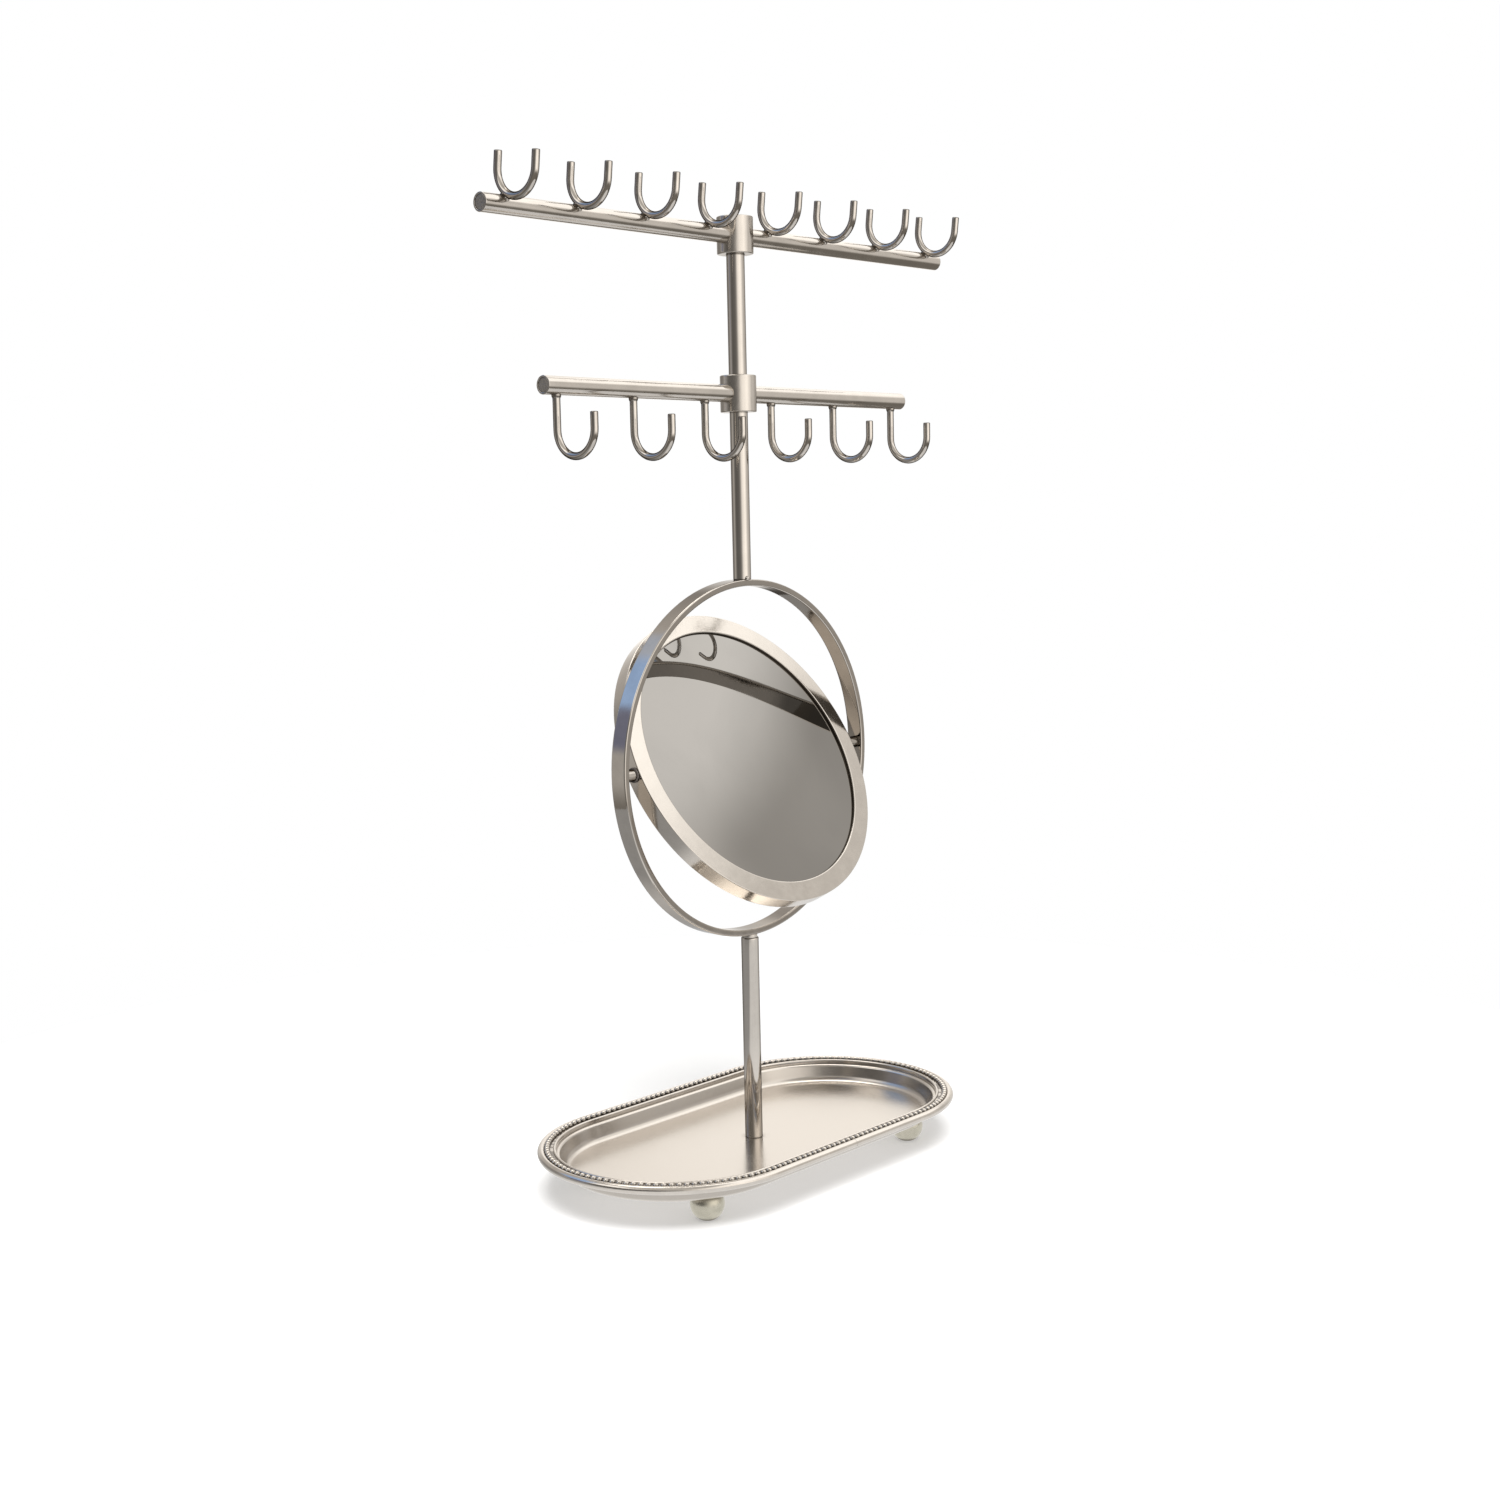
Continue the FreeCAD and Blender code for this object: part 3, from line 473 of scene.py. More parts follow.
def recess_patina_and_shade_group(name):
    """Dark patina and painted shade where other surfaces come near."""
    group, given, result = new_tree(
        name, "ShaderNodeTree",
        [("Metal", "Color", (0.66, 0.61, 0.55, 1)), ("Patina", "Color", (0.1, 0.08, 0.06, 1)),
         ("Reach", "Float", 2 * MM), ("Amount", "Float", 0.8)],
        [("Color", "Color"), ("Mask", "Float")])
    # Patina and painted shade: ambient occlusion darkens the metal where other surfaces come near.
    near = add_node(group, "ShaderNodeAmbientOcclusion", {"Distance": given["Reach"]}, samples=8)
    closeness = map_range(group, near.outputs["AO"], 0.25, 0.85, 1, 0)
    mask = math_node(group, "MULTIPLY", closeness, given["Amount"], clamp=True)
    feed(group, result["Color"], mix_colour(group, mask, given["Metal"], given["Patina"]))
    feed(group, result["Mask"], mask)
    return group


def shared_material(name, paint, **values):
    """The material of that name, on first use painted by paint(tree, shader, **values)."""
    material = bpy.data.materials.get(name)
    if not material:
        material = bpy.data.materials.new(name)
        material.use_nodes = True
        paint(material.node_tree, material.node_tree.nodes["Principled BSDF"], **values)
    return material


def plated_metal(tree, shader, colour, roughness, tone=0.12, spread=0.06, grain=(2500, 2500, 120), bump=0.02,
                 recess=0.6, reach=2 * MM, cloud_scale=90, seam=False, edge=0, edge_shade_range=(0.3, 0.85)):
    """Metal with uneven plating, drawn lines, and patina with painted shade in the recesses.

    seam adds the darkness stored on the piece: painted shade on most pieces, dark solder and wire tips on the
    hooks. edge is how far painted shade darkens the metal where it turns away, between the two values of
    edge_shade_range.
    """
    patina = (*bpy.context.scene.stand_finish.patina, 1)
    patina_roughness = 0.35
    shader.inputs["Metallic"].default_value = 1
    wear = add_node(tree, "ShaderNodeGroup", {
        "Cloud Scale": cloud_scale, "Tone Change": tone, "Roughness": roughness, "Roughness Change": spread,
        "Grain": grain}, node_tree=shared_tree("Plate Wear", plate_wear_group)).outputs
    # Patina and painted shade in the recesses.
    dark = add_node(tree, "ShaderNodeGroup", {
        "Metal": (*colour, 1), "Patina": patina, "Reach": reach, "Amount": recess},
        node_tree=shared_tree("Recess Patina", recess_patina_and_shade_group)).outputs
    surface = vector_math(tree, "SCALE", dark["Color"], scale=wear["Tone"])
    # Darkness stored on the piece: painted shade on most pieces, dark solder on the hooks.
    if seam:
        stored = add_node(tree, "ShaderNodeAttribute", attribute_name="patina")
        surface = mix_colour(tree, stored.outputs["Fac"], surface, patina)
    # Painted shade on the edges: the colour darkens where the surface turns away from the view, and a grey
    # specular tint dims the edge reflection.
    if edge:
        facing = add_node(tree, "ShaderNodeLayerWeight").outputs["Facing"]
        surface = mix_colour(tree, map_range(tree, facing, *edge_shade_range, 0, edge), surface, patina)
        shader.inputs["Specular Tint"].default_value = (1 - edge, 1 - edge, 1 - edge, 1)
    feed(tree, shader.inputs["Base Color"], surface)
    rough = math_node(tree, "MULTIPLY_ADD", dark["Mask"], patina_roughness, wear["Roughness"])
    feed(tree, shader.inputs["Roughness"], rough)
    relief = add_node(tree, "ShaderNodeBump", {
        "Strength": 1, "Distance": bump * MM, "Height": wear["Height"]})
    feed(tree, shader.inputs["Normal"], relief.outputs["Normal"])


def dull_plastic(tree, shader, colour, roughness, scale, change):
    """Plain dull plastic or foam with a fine mottle."""
    shader.inputs["Roughness"].default_value = roughness
    place = add_node(tree, "ShaderNodeTexCoord").outputs["Object"]
    mottle = add_node(tree, "ShaderNodeTexNoise", {
        "Vector": place, "Scale": scale, "Detail": 4}).outputs["Fac"]
    light = tuple(min(channel * (1 + change), 1) for channel in colour)
    dark = tuple(channel * (1 - change) for channel in colour)
    feed(tree, shader.inputs["Base Color"], mix_colour(tree, mottle, (*dark, 1), (*light, 1)))
    relief = add_node(tree, "ShaderNodeBump", {"Distance": 0.05 * MM, "Height": mottle})
    feed(tree, shader.inputs["Normal"], relief.outputs["Normal"])


def mirror_silver(tree, shader, tint, haze=0.94):
    """Silvered glass: sharp reflection with faint wiped smears; haze is the tint's share that they leave."""
    shader.inputs["Metallic"].default_value = 1
    place = add_node(tree, "ShaderNodeTexCoord").outputs["Object"]
    smear = add_node(tree, "ShaderNodeTexNoise", {
        "Vector": place, "Scale": 14, "Detail": 6, "Distortion": 0.8}).outputs["Fac"]
    feed(tree, shader.inputs["Roughness"], map_range(tree, smear, 0.45, 0.75, 0.015, 0.06))
    hazy = (*(channel * haze for channel in tint), 1)
    feed(tree, shader.inputs["Base Color"],
         mix_colour(tree, map_range(tree, smear, 0.4, 0.7, 0, 1), (*tint, 1), hazy))


def nickel_for(part):
    """Nickel plate as it looks on one kind of part."""
    finish = bpy.context.scene.stand_finish
    # In these looks, edge paints shade on the edges that turn away, seam adds the darkness stored on the
    # piece, and recess sets the patina and painted shade in the hollows.
    looks = {
        "post": dict(roughness=0.7 * finish.polish, grain=(900, 900, 40), bump=0.001, tone=0.03, spread=0.02,
                     edge=0.6),
        "bar": dict(roughness=1.4 * finish.polish, grain=(40, 900, 900), bump=0.0003, tone=0.04, spread=0.02),
        "hoop": dict(roughness=0.07, grain=(300, 300, 300), bump=0.002, tone=0.04, spread=0.03, edge=0.4,
                     seam=True),
        "hook": dict(roughness=0.08, grain=(500, 500, 500), bump=0.002, tone=0.07, spread=0.03, seam=True,
                     edge=0.95, edge_shade_range=(0.15, 0.7)),
        "frame": dict(roughness=0.13, grain=(300, 300, 300), bump=0.002, tone=0.03, spread=0.03,
                      recess=0.95, reach=1.6 * MM, seam=True),
        "tray": dict(roughness=finish.satin, grain=(300, 300, 300), bump=0.002, tone=0.02, spread=0.02,
                     recess=0.7, reach=8 * MM, cloud_scale=25, seam=True),
        "border": dict(roughness=0.14, grain=(500, 500, 500), bump=0.003, tone=0.04, spread=0.04, recess=1.0,
                       reach=2 * MM, seam=True),
        "tee": dict(roughness=0.15, grain=(900, 900, 200), bump=0.003, tone=0.04, edge=0.35),
    }
    return shared_material(f"Nickel {part}", plated_metal, colour=tuple(finish.nickel), **looks[part])


# ---------------------------------------------------------------- pressed, cast and turned pieces
def tray_rings(outline, stations):
    """One ring of points at each (centre x, direction) station, from an outline of (radius, height)."""
    return [[(offset + radius * math.cos(angle), radius * math.sin(angle), height)
             for radius, height in outline] for offset, angle in stations]


class STAND_OT_tray(Operator):
    """Pressed tray: flat floor, cove, sloping wall and flange"""
    bl_idname = "stand.tray"
    bl_label = "Tray"

    def execute(self, context):
        low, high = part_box("tray_dish")
        under, top = low.z, high.z
        thickness, cove, cove_finish, shoulder = 1 * MM, 6 * MM, 4.5 * MM, 1.8 * MM
        rim_width, flange_edge, slope = 19.5 * MM, 0.3 * MM, math.radians(75)
        floor_edge, floor = TRAY_END_RADIUS - rim_width, under + thickness
        # Painted dark reflection: a darker band on the sloping wall, between its foot and head.
        wall_dark_reflection, wall_foot, wall_head = 0.25, floor + 1.2 * MM, top - 0.8 * MM

        def wall(height, base, bend):
            """Radius at a height of the sloping wall that bends up from base."""
            return floor_edge + bend * math.tan(slope / 2) + (height - base) / math.tan(slope)

        outline = rounded([
            (0, under, 0),
            (wall(under, under, cove + thickness), under, cove_finish + thickness),
            (wall(top - thickness, under, cove + thickness), top - thickness, shoulder - thickness),
            (high.y, top - thickness, flange_edge),
            (high.y, top, flange_edge),
            (wall(top, floor, cove), top, shoulder),
            (wall(floor, floor, cove), floor, cove_finish),
            (0, floor, 0),
        ], steps=8)
        stations = half_tray(context.scene.stand_sizes.facets)
        stations += [(-offset, angle + math.pi) for offset, angle in stations]
        sheet = bmesh.new()
        skin(sheet, tray_rings(outline, stations))
        # Painted dark reflection on the wall.
        paint_shade(sheet, lambda point: wall_dark_reflection if wall_foot < point.z < wall_head else 0)
        finished("tray_dish", sheet, nickel_for("tray"))
        return {"FINISHED"}


def bead_row_tree(name):
    """Adds a row of beads, with painted shade on their lower parts, along half of a border with a round end
    to the border's strip.
    """
    tree, given, result = new_tree(name, "GeometryNodeTree", [
        ("Strip", "Geometry"), ("Bead Radius", "Float"), ("Row Radius", "Float"), ("End Offset", "Float"),
        ("Row Height", "Float"), ("End Beads", "Int"), ("Side Beads", "Int"), ("Side Pitch", "Float"),
        ("Turn", "Float"), ("Material", "Material")], [("Geometry", "Geometry")])
    arc = add_node(tree, "GeometryNodeCurveArc", {
        "Start Angle": -math.pi / 2, "Sweep Angle": math.pi, "Radius": given["Row Radius"],
        "Resolution": given["End Beads"]}, mode="RADIUS")
    placed_arc = add_node(tree, "GeometryNodeTransform", {
        "Geometry": arc.outputs["Curve"],
        "Translation": vector_of(tree, given["End Offset"], 0, given["Row Height"])}).outputs[0]
    end_points = add_node(tree, "GeometryNodeCurveToPoints", {"Curve": placed_arc}, mode="EVALUATED")
    first_x = math_node(tree, "SUBTRACT", given["End Offset"], given["Side Pitch"])
    step_back = math_node(tree, "MULTIPLY", given["Side Pitch"], -1)
    row = add_node(tree, "GeometryNodeMeshLine", {
        "Count": given["Side Beads"],
        "Start Location": vector_of(tree, first_x, given["Row Radius"], given["Row Height"]),
        "Offset": vector_of(tree, step_back)}, mode="OFFSET").outputs[0]
    far_row = add_node(tree, "GeometryNodeTransform", {"Geometry": row, "Scale": (1, -1, 1)}).outputs[0]
    points = add_node(tree, "GeometryNodeTransform", {
        "Geometry": joined(tree, end_points.outputs["Points"], row, far_row),
        "Rotation": vector_of(tree, 0, 0, given["Turn"])}).outputs[0]
    bead = add_node(tree, "GeometryNodeMeshUVSphere", {
        "Segments": 12, "Rings": 9, "Radius": given["Bead Radius"]}).outputs["Mesh"]
    position = add_node(tree, "GeometryNodeInputPosition").outputs[0]
    # Painted shade: each bead is darkened from below, so that only its top stays bright.
    rise = math_node(tree, "DIVIDE", parts_of(tree, position)["Z"], given["Bead Radius"])
    darkness = map_range(tree, rise, 0.15, 0.8, 1, 0, smooth=False)
    shaded_bead = add_node(tree, "GeometryNodeStoreNamedAttribute", {
        "Geometry": bead, "Name": "patina", "Value": darkness},
        data_type="FLOAT", domain="POINT").outputs["Geometry"]
    smooth = add_node(tree, "GeometryNodeSetShadeSmooth", {"Geometry": shaded_bead}).outputs[0]
    beads = add_node(tree, "GeometryNodeInstanceOnPoints", {"Points": points, "Instance": smooth}).outputs[0]
    both = joined(tree, beads, given["Strip"])
    feed(tree, result["Geometry"], made_real(tree, both, given["Material"]))
    return tree


class STAND_OT_border(Operator):
    """Two halves of the cast border: strip, rolled lip, ridge and a row of beads"""
    bl_idname = "stand.border"
    bl_label = "Beaded border"

    def execute(self, context):
        sizes = context.scene.stand_sizes
        low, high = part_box("rim_border_right")
        flange = high.z - 3.65 * MM
        base, bead_height = flange + 1.8 * MM, flange + 1.85 * MM
        inner, outer = TRAY_END_RADIUS - 10.3 * MM, TRAY_END_RADIUS - 2.9 * MM
        lip_root, row_radius = TRAY_END_RADIUS - 4 * MM, TRAY_END_RADIUS - 5.3 * MM
        lip_radius, ridge = 2.3 * MM, 0.8 * MM
        # The second value is painted shade in the channel where the beads sit.
        seam, channel_painted_shade, sharp = 0.05 * MM, 0.9, 50
        lip_x, lip_z = TRAY_END_RADIUS - lip_radius, low.z + lip_radius
        start = -math.acos((outer - lip_x) / lip_radius)
        end = math.acos((lip_root - lip_x) / lip_radius)
        outline = [(inner, flange), (outer, flange)]
        outline += arc_points(lip_x, lip_z, lip_radius, start, end, steps=24)
        channel = len(outline)
        outline += [(outline[-1][0], base), (inner + 2 * ridge, base)]
        outline += arc_points(inner + ridge, base, ridge, 0, math.pi, steps=8)
        side_beads = round(TRAY_END_OFFSET / sizes.bead_spacing - 0.5)
        rings = tray_rings(outline, half_tray(sizes.facets))
        near_end, far_end = ([(seam, y, z) for _, y, z in ring] for ring in (rings[0], rings[-1]))
        tree = shared_tree("Bead Row", bead_row_tree)
        for name, turn in (("rim_border_right", 0), ("rim_border_left", math.pi)):
            sheet = bmesh.new()
            darkness = sheet.verts.layers.float.new("patina")
            made = skin(sheet, [near_end, *rings, far_end], False, Matrix.Rotation(turn, 4, "Z"))
            # Painted shade in the channel where the beads sit.
            for ring in made:
                for point in ring[channel:channel + 2]:
                    point[darkness] = channel_painted_shade
            sheet.faces.new(made[0])
            sheet.faces.new(made[-1])
            piece = new_piece(f"{name}_finished", closed_mesh(name, sheet, sharp))
            grown(piece, tree, {
                "Bead Radius": sizes.bead_radius, "Row Radius": row_radius, "End Offset": TRAY_END_OFFSET,
                "Row Height": bead_height, "Side Beads": side_beads,
                "End Beads": round(math.pi * row_radius / sizes.bead_spacing) + 1,
                "Side Pitch": TRAY_END_OFFSET / (side_beads + 0.5), "Turn": float(turn),
                "Material": nickel_for("border")})
            declare(piece, "stand", [name], "brushed_nickel")
        return {"FINISHED"}


class STAND_OT_feet(Operator):
    """Four ball feet with a small flat below and above"""
    bl_idname = "stand.feet"
    bl_label = "Ball feet"

    def execute(self, context):
        colour = tuple(context.scene.stand_finish.foot)
        material = shared_material("Aged foot metal", plated_metal, colour=colour, roughness=0.3, tone=0.08,
                                   grain=(500, 500, 500), bump=0.006, recess=0.75, reach=3 * MM,
                                   cloud_scale=120)
        flat_depth = 1 * MM
        for node in (f"foot_{depth}_{side}" for depth in ("front", "rear") for side in ("left", "right")):
            radius, height = half_width(node, 0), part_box(node)[1].z
            middle = radius - flat_depth
            start, end = math.asin(-middle / radius), math.asin((height - middle) / radius)
            outline = [(0, 0), *arc_points(0, middle, radius, start, end, steps=24), (0, height)]
            sheet = bmesh.new()
            turned(sheet, outline, facets=48, place=Matrix.Translation((centre(node, 0), centre(node, 1), 0)))
            finished(node, sheet, material, slot="foot_metal", sharp=30)
        return {"FINISHED"}


class STAND_OT_posts(Operator):
    """Lower and upper post and the neck under the hoop"""
    bl_idname = "stand.posts"
    bl_label = "Posts"

    def execute(self, context):
        edge = context.scene.stand_sizes.edge_break
        bore, neck_bore, neck_edge = POST_RADIUS - TUBE_WALL, 2.55 * MM, 0.2 * MM
        solder_radius, solder_rise, solder_side = 1.3 * MM, 0.6 * MM, math.radians(-105)
        for node in ("lower_post", "upper_post"):
            low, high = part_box(node)
            sheet = bmesh.new()
            turned(sheet, rounded(sleeve(bore, POST_RADIUS, low.z, high.z, 0, edge, edge, 0), steps=4))
            if node == "upper_post":
                ball(sheet, (POST_RADIUS * math.cos(solder_side), POST_RADIUS * math.sin(solder_side),
                             HOOP_HEIGHT + HOOP_RADIUS + solder_rise), solder_radius)
            finished(node, sheet, nickel_for("post"))
        low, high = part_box("joint_collar")
        neck = sleeve(neck_bore, half_width("joint_collar", 0), low.z, high.z, 0, neck_edge, neck_edge, 0)
        turned_piece("joint_collar", neck, nickel_for("border"), facets=48)
        return {"FINISHED"}


class STAND_OT_hoop(Operator):
    """Flat strip bent to a ring round the mirror"""
    bl_idname = "stand.hoop"
    bl_label = "Hoop"

    def execute(self, context):
        half, thickness, edge = half_width("hoop", 1), 3.6 * MM, 0.8 * MM
        inner, near = HOOP_RADIUS - thickness, 0.1 * edge
        # Painted shade: dark side faces, and a dark inner face that fades out towards the bottom.
        darkest, fade_start, fade_length = 0.55, -70 * MM, 50 * MM

        def painted_shade_at(point):
            """Painted shade: dark side faces, and an inner face whose shade fades towards the bottom."""
            if abs(point.y) > half - near:
                return darkest
            if math.hypot(point.x, point.z) < inner + near:
                return darkest * min(max((point.z - fade_start) / fade_length, 0), 1)
            return 0

        strip = sleeve(inner, HOOP_RADIUS, -half, half, edge, edge, edge, edge)
        turned_piece("hoop", strip, nickel_for("hoop"), axis="y", facets=context.scene.stand_sizes.facets,
                     steps=6, place=Matrix.Translation((0, 0, HOOP_HEIGHT)), painted_shade_at=painted_shade_at)
        return {"FINISHED"}


class STAND_OT_tees(Operator):
    """Sleeves where the crossbars meet the post"""
    bl_idname = "stand.tees"
    bl_label = "Sleeves"

    def execute(self, context):
        bore, cap = POST_RADIUS + 0.05 * MM, 2 * MM
        lower_edge, edge = 0.2 * MM, 0.6 * MM
        for node, capped in (("mid_tee", False), ("top_tee", True)):
            low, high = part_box(node)
            corners = sleeve(bore, half_width(node, 0), low.z, high.z, lower_edge, edge, edge, 0)
            if capped:
                corners[-1:] = [(0, high.z, 0), (0, high.z - cap, 0), (bore, high.z - cap, 0)]
            turned_piece(node, corners, nickel_for("tee"), facets=72, steps=5)
        return {"FINISHED"}


class STAND_OT_bars(Operator):
    """Crossbars: four tubes with dark plugs in their ends"""
    bl_idname = "stand.bars"
    bl_label = "Crossbars"

    def execute(self, context):
        edge = context.scene.stand_sizes.edge_break
        dark = shared_material("Dark end plug", plated_metal, colour=(0.42, 0.39, 0.35), roughness=0.3,
                               tone=0.15, grain=(1200, 1200, 1200), bump=0.03, recess=0.9)
        bore, start = BAR_RADIUS - TUBE_WALL, POST_RADIUS + 0.1 * MM
        plug_radius, plug_length, plug_depth, plug_edge = bore - 0.05 * MM, 4 * MM, 0.3 * MM, 0.3 * MM
        levels = (("mid", MID_BAR_HEIGHT, MID_BAR_REACH), ("top", TOP_BAR_HEIGHT, TOP_BAR_REACH))
        for level, height, reach in levels:
            for side, turn in SIDES:
                place = Matrix.Translation((0, 0, height)) @ Matrix.Rotation(turn, 4, "Z")
                turned_piece(f"{level}_bar_{side}", sleeve(bore, BAR_RADIUS, start, reach, 0, 0, edge, edge),
                             nickel_for("bar"), axis="x", place=place)
                face = reach - plug_depth
                turned_piece(f"{level}_bar_plug_{side}",
                             sleeve(0, plug_radius, face - plug_length, face, 0, 0, plug_edge, 0), dark,
                             slot="dark_plug", axis="x", facets=48, place=place)
        return {"FINISHED"}


# ---------------------------------------------------------------- wire hooks
def hook_mesh(name, sizes, middle, long_leg, solder, lean):
    """Wire hook in the plane x = 0: rear leg, bend round (y, z) middle and front leg.

    Each drop of solder is (place, radius, darkness).
    """
    bend, wire, tip = sizes.bend_radius, sizes.wire_radius, 0.5 * MM
    tip_steps, leg_steps, bend_steps = (0, 0.15, 0.4, 1), 4, 32
    tip_rings, tip_darkness, sharp = 3, 0.9, 40
    y, z = middle

    def leg(across, rise):
        """A leg's points, from its rounded tip down to just above the bend."""
        heights = [rise - back * tip for back in tip_steps]
        heights += [(rise - tip) * (1 - step / leg_steps) for step in range(1, leg_steps)]
        return [Vector((0, y + across, z + height)) for height in heights]

    arc = arc_points(0, 0, bend, 0, math.pi, bend_steps)
    bow = [Vector((0, y + across, z - drop)) for across, drop in arc]
    path = leg(bend, long_leg) + bow + leg(-bend, sizes.tip_rise)[::-1]
    ends = [wire - tip + math.sqrt(tip ** 2 - (tip * (1 - back)) ** 2) for back in tip_steps]
    radii = ends + [wire] * (len(path) - 2 * len(ends)) + ends[::-1]
    sheet = bmesh.new()
    darkness = sheet.verts.layers.float.new("patina")
    made = tube(sheet, path, radii)
    for ring in made[:tip_rings] + made[-tip_rings:]:
        for point in ring:
            point[darkness] = tip_darkness
    for place, radius, dark in solder:
        for point in ball(sheet, place, radius):
            point[darkness] = dark
    bmesh.ops.rotate(sheet, verts=sheet.verts, cent=(0, 0, 0), matrix=Matrix.Rotation(lean, 3, "X"))
    return closed_mesh(name, sheet, sharp)


def hook_row_tree(name):
    """Repeats one hook along a crossbar, each turned a very little differently."""
    tree, given, result = new_tree(name, "GeometryNodeTree", [
        ("Hook", "Geometry"), ("Count", "Int"), ("Pitch", "Float"), ("Height", "Float"), ("Twist", "Float"),
        ("Seed", "Int"), ("Material", "Material")], [("Geometry", "Geometry")])
    gaps = math_node(tree, "SUBTRACT", given["Count"], 1)
    first_x = math_node(tree, "MULTIPLY", math_node(tree, "MULTIPLY", gaps, given["Pitch"]), -0.5)
    row = add_node(tree, "GeometryNodeMeshLine", {
        "Count": given["Count"], "Start Location": vector_of(tree, first_x, 0, given["Height"]),
        "Offset": vector_of(tree, given["Pitch"])}, mode="OFFSET").outputs[0]
    random = add_node(tree, "FunctionNodeRandomValue", {"Seed": given["Seed"]}, data_type="FLOAT")
    least, most = [socket for socket in random.inputs if socket.type == "VALUE"][:2]
    feed(tree, least, math_node(tree, "MULTIPLY", given["Twist"], -1))
    feed(tree, most, given["Twist"])
    turn = [socket for socket in random.outputs if socket.type == "VALUE"][0]
    hooks = add_node(tree, "GeometryNodeInstanceOnPoints", {
        "Points": row, "Instance": given["Hook"], "Rotation": vector_of(tree, 0, 0, turn)}).outputs[0]
    feed(tree, result["Geometry"], made_real(tree, hooks, given["Material"]))
    return tree


def hook_row(name, mesh, count, pitch, height, seed):
    """A row of hooks that stands for the CAD nodes name_1, name_2 and so on."""
    twist = math.radians(0.8)
    piece = new_piece(f"{name}s", mesh)
    grown(piece, shared_tree("Hook Row", hook_row_tree), {
        "Count": count, "Pitch": pitch, "Height": height, "Twist": twist, "Seed": seed,
        "Material": nickel_for("hook")})
    declare(piece, "stand", [f"{name}_{index + 1}" for index in range(count)], "brushed_nickel")


class STAND_OT_upper_hooks(Operator):
    """U-shaped wire hooks that stand on the upper crossbar"""
    bl_idname = "stand.upper_hooks"
    bl_label = "Upper hooks"

    def execute(self, context):
        sizes = context.scene.stand_sizes
        seat, drop = math.radians(29), math.radians(55)
        sink = 0.3 * MM
        seat_solder, drop_solder = (2.3 * MM, 0.9), (1.4 * MM, 0)
        reach = BAR_RADIUS + sizes.wire_radius - sink + sizes.bend_radius
        contact = (0, -BAR_RADIUS * math.sin(seat), BAR_RADIUS * math.cos(seat))
        front = (0, -BAR_RADIUS * math.sin(drop), BAR_RADIUS * math.cos(drop))
        middle = (-reach * math.sin(seat), reach * math.cos(seat))
        mesh = hook_mesh("upper_hook", sizes, middle, sizes.tip_rise,
                         [(contact, *seat_solder), (front, *drop_solder)], sizes.hook_lean)
        hook_row("upper_hook", mesh, count=8, pitch=UPPER_PITCH, height=TOP_BAR_HEIGHT, seed=3)
        return {"FINISHED"}


class STAND_OT_lower_hooks(Operator):
    """J-shaped wire hooks that hang under the lower crossbar"""
    bl_idname = "stand.lower_hooks"
    bl_label = "Lower hooks"

    def execute(self, context):
        sizes = context.scene.stand_sizes
        drop, sink = 22 * MM, 0.5 * MM
        solder_radius, solder_darkness = 2.5 * MM, 0.45
        mesh = hook_mesh("lower_hook", sizes, (-sizes.bend_radius, -drop), drop - BAR_RADIUS + sink,
                         [((0, 0, -BAR_RADIUS), solder_radius, solder_darkness)], 0)
        hook_row("lower_hook", mesh, count=6, pitch=LOWER_PITCH, height=MID_BAR_HEIGHT, seed=5)
        return {"FINISHED"}


# ---------------------------------------------------------------- mirror and small metalware
class STAND_OT_mirror(Operator):
    """Mirror: frame with its bezel, silvered glass, pad and back plate"""
    bl_idname = "stand.mirror"
    bl_label = "Mirror"

    def execute(self, context):
        sizes = context.scene.stand_sizes
        radius, front, rear = half_width("mirror_frame", 0), -5.2 * MM, 5.2 * MM
        wall, bezel_inner, bezel_back = radius - 1.5 * MM, radius - 11.05 * MM, front + 1.2 * MM
        bezel_slope, edge, rear_edge = 0.6 * MM, 0.5 * MM, 0.2 * MM
        bevel_inner, bevel_back = bezel_inner - 1 * MM, bezel_back + 0.3 * MM
        glass_radius, glass_rear = bezel_inner + 2.8 * MM, -1 * MM
        plate_radius, plate_front, plate_rear, plate_edge = wall - 0.05 * MM, 3.8 * MM, 5 * MM, 0.3 * MM
        # Painted shade on the bezel's inner wall, inside dark_radius.
        dark_radius, darkness = bezel_inner + 0.1 * MM, 0.9
        way = dict(body="mirror", axis="y", facets=sizes.facets, place=Matrix.Translation((0, 0, HOOP_HEIGHT))
                   @ Matrix.Rotation(-sizes.mirror_tilt, 4, "X"))
        turned_piece("mirror_frame", [
            (bezel_inner, front, edge), (radius, front + bezel_slope, edge), (radius, rear, edge),
            (wall, rear, rear_edge), (wall, bezel_back, 0), (bezel_inner, bezel_back, 0)],
            nickel_for("frame"), steps=5, **way,
            painted_shade_at=lambda point: darkness if math.hypot(point.x, point.z) < dark_radius else 0)
        silver = shared_material("Mirror silver", mirror_silver, tint=tuple(context.scene.stand_finish.glass))
        turned_piece("mirror_glass", [
            (0, bezel_back, 0), (bevel_inner, bezel_back, 0), (bezel_inner, bevel_back, 0),
            (glass_radius, bevel_back, 0), (glass_radius, glass_rear, 0), (0, glass_rear, 0)],
            silver, slot="mirror_glass", **way)
        dress("backing_pad", shared_material("Foam pad", dull_plastic, colour=(0.03, 0.03, 0.03),
                                             roughness=0.9, scale=900, change=0.3))
        turned_piece("back_plate", sleeve(0, plate_radius, plate_front, plate_rear, 0, 0, plate_edge, 0),
                     nickel_for("tray"), **way)
        return {"FINISHED"}


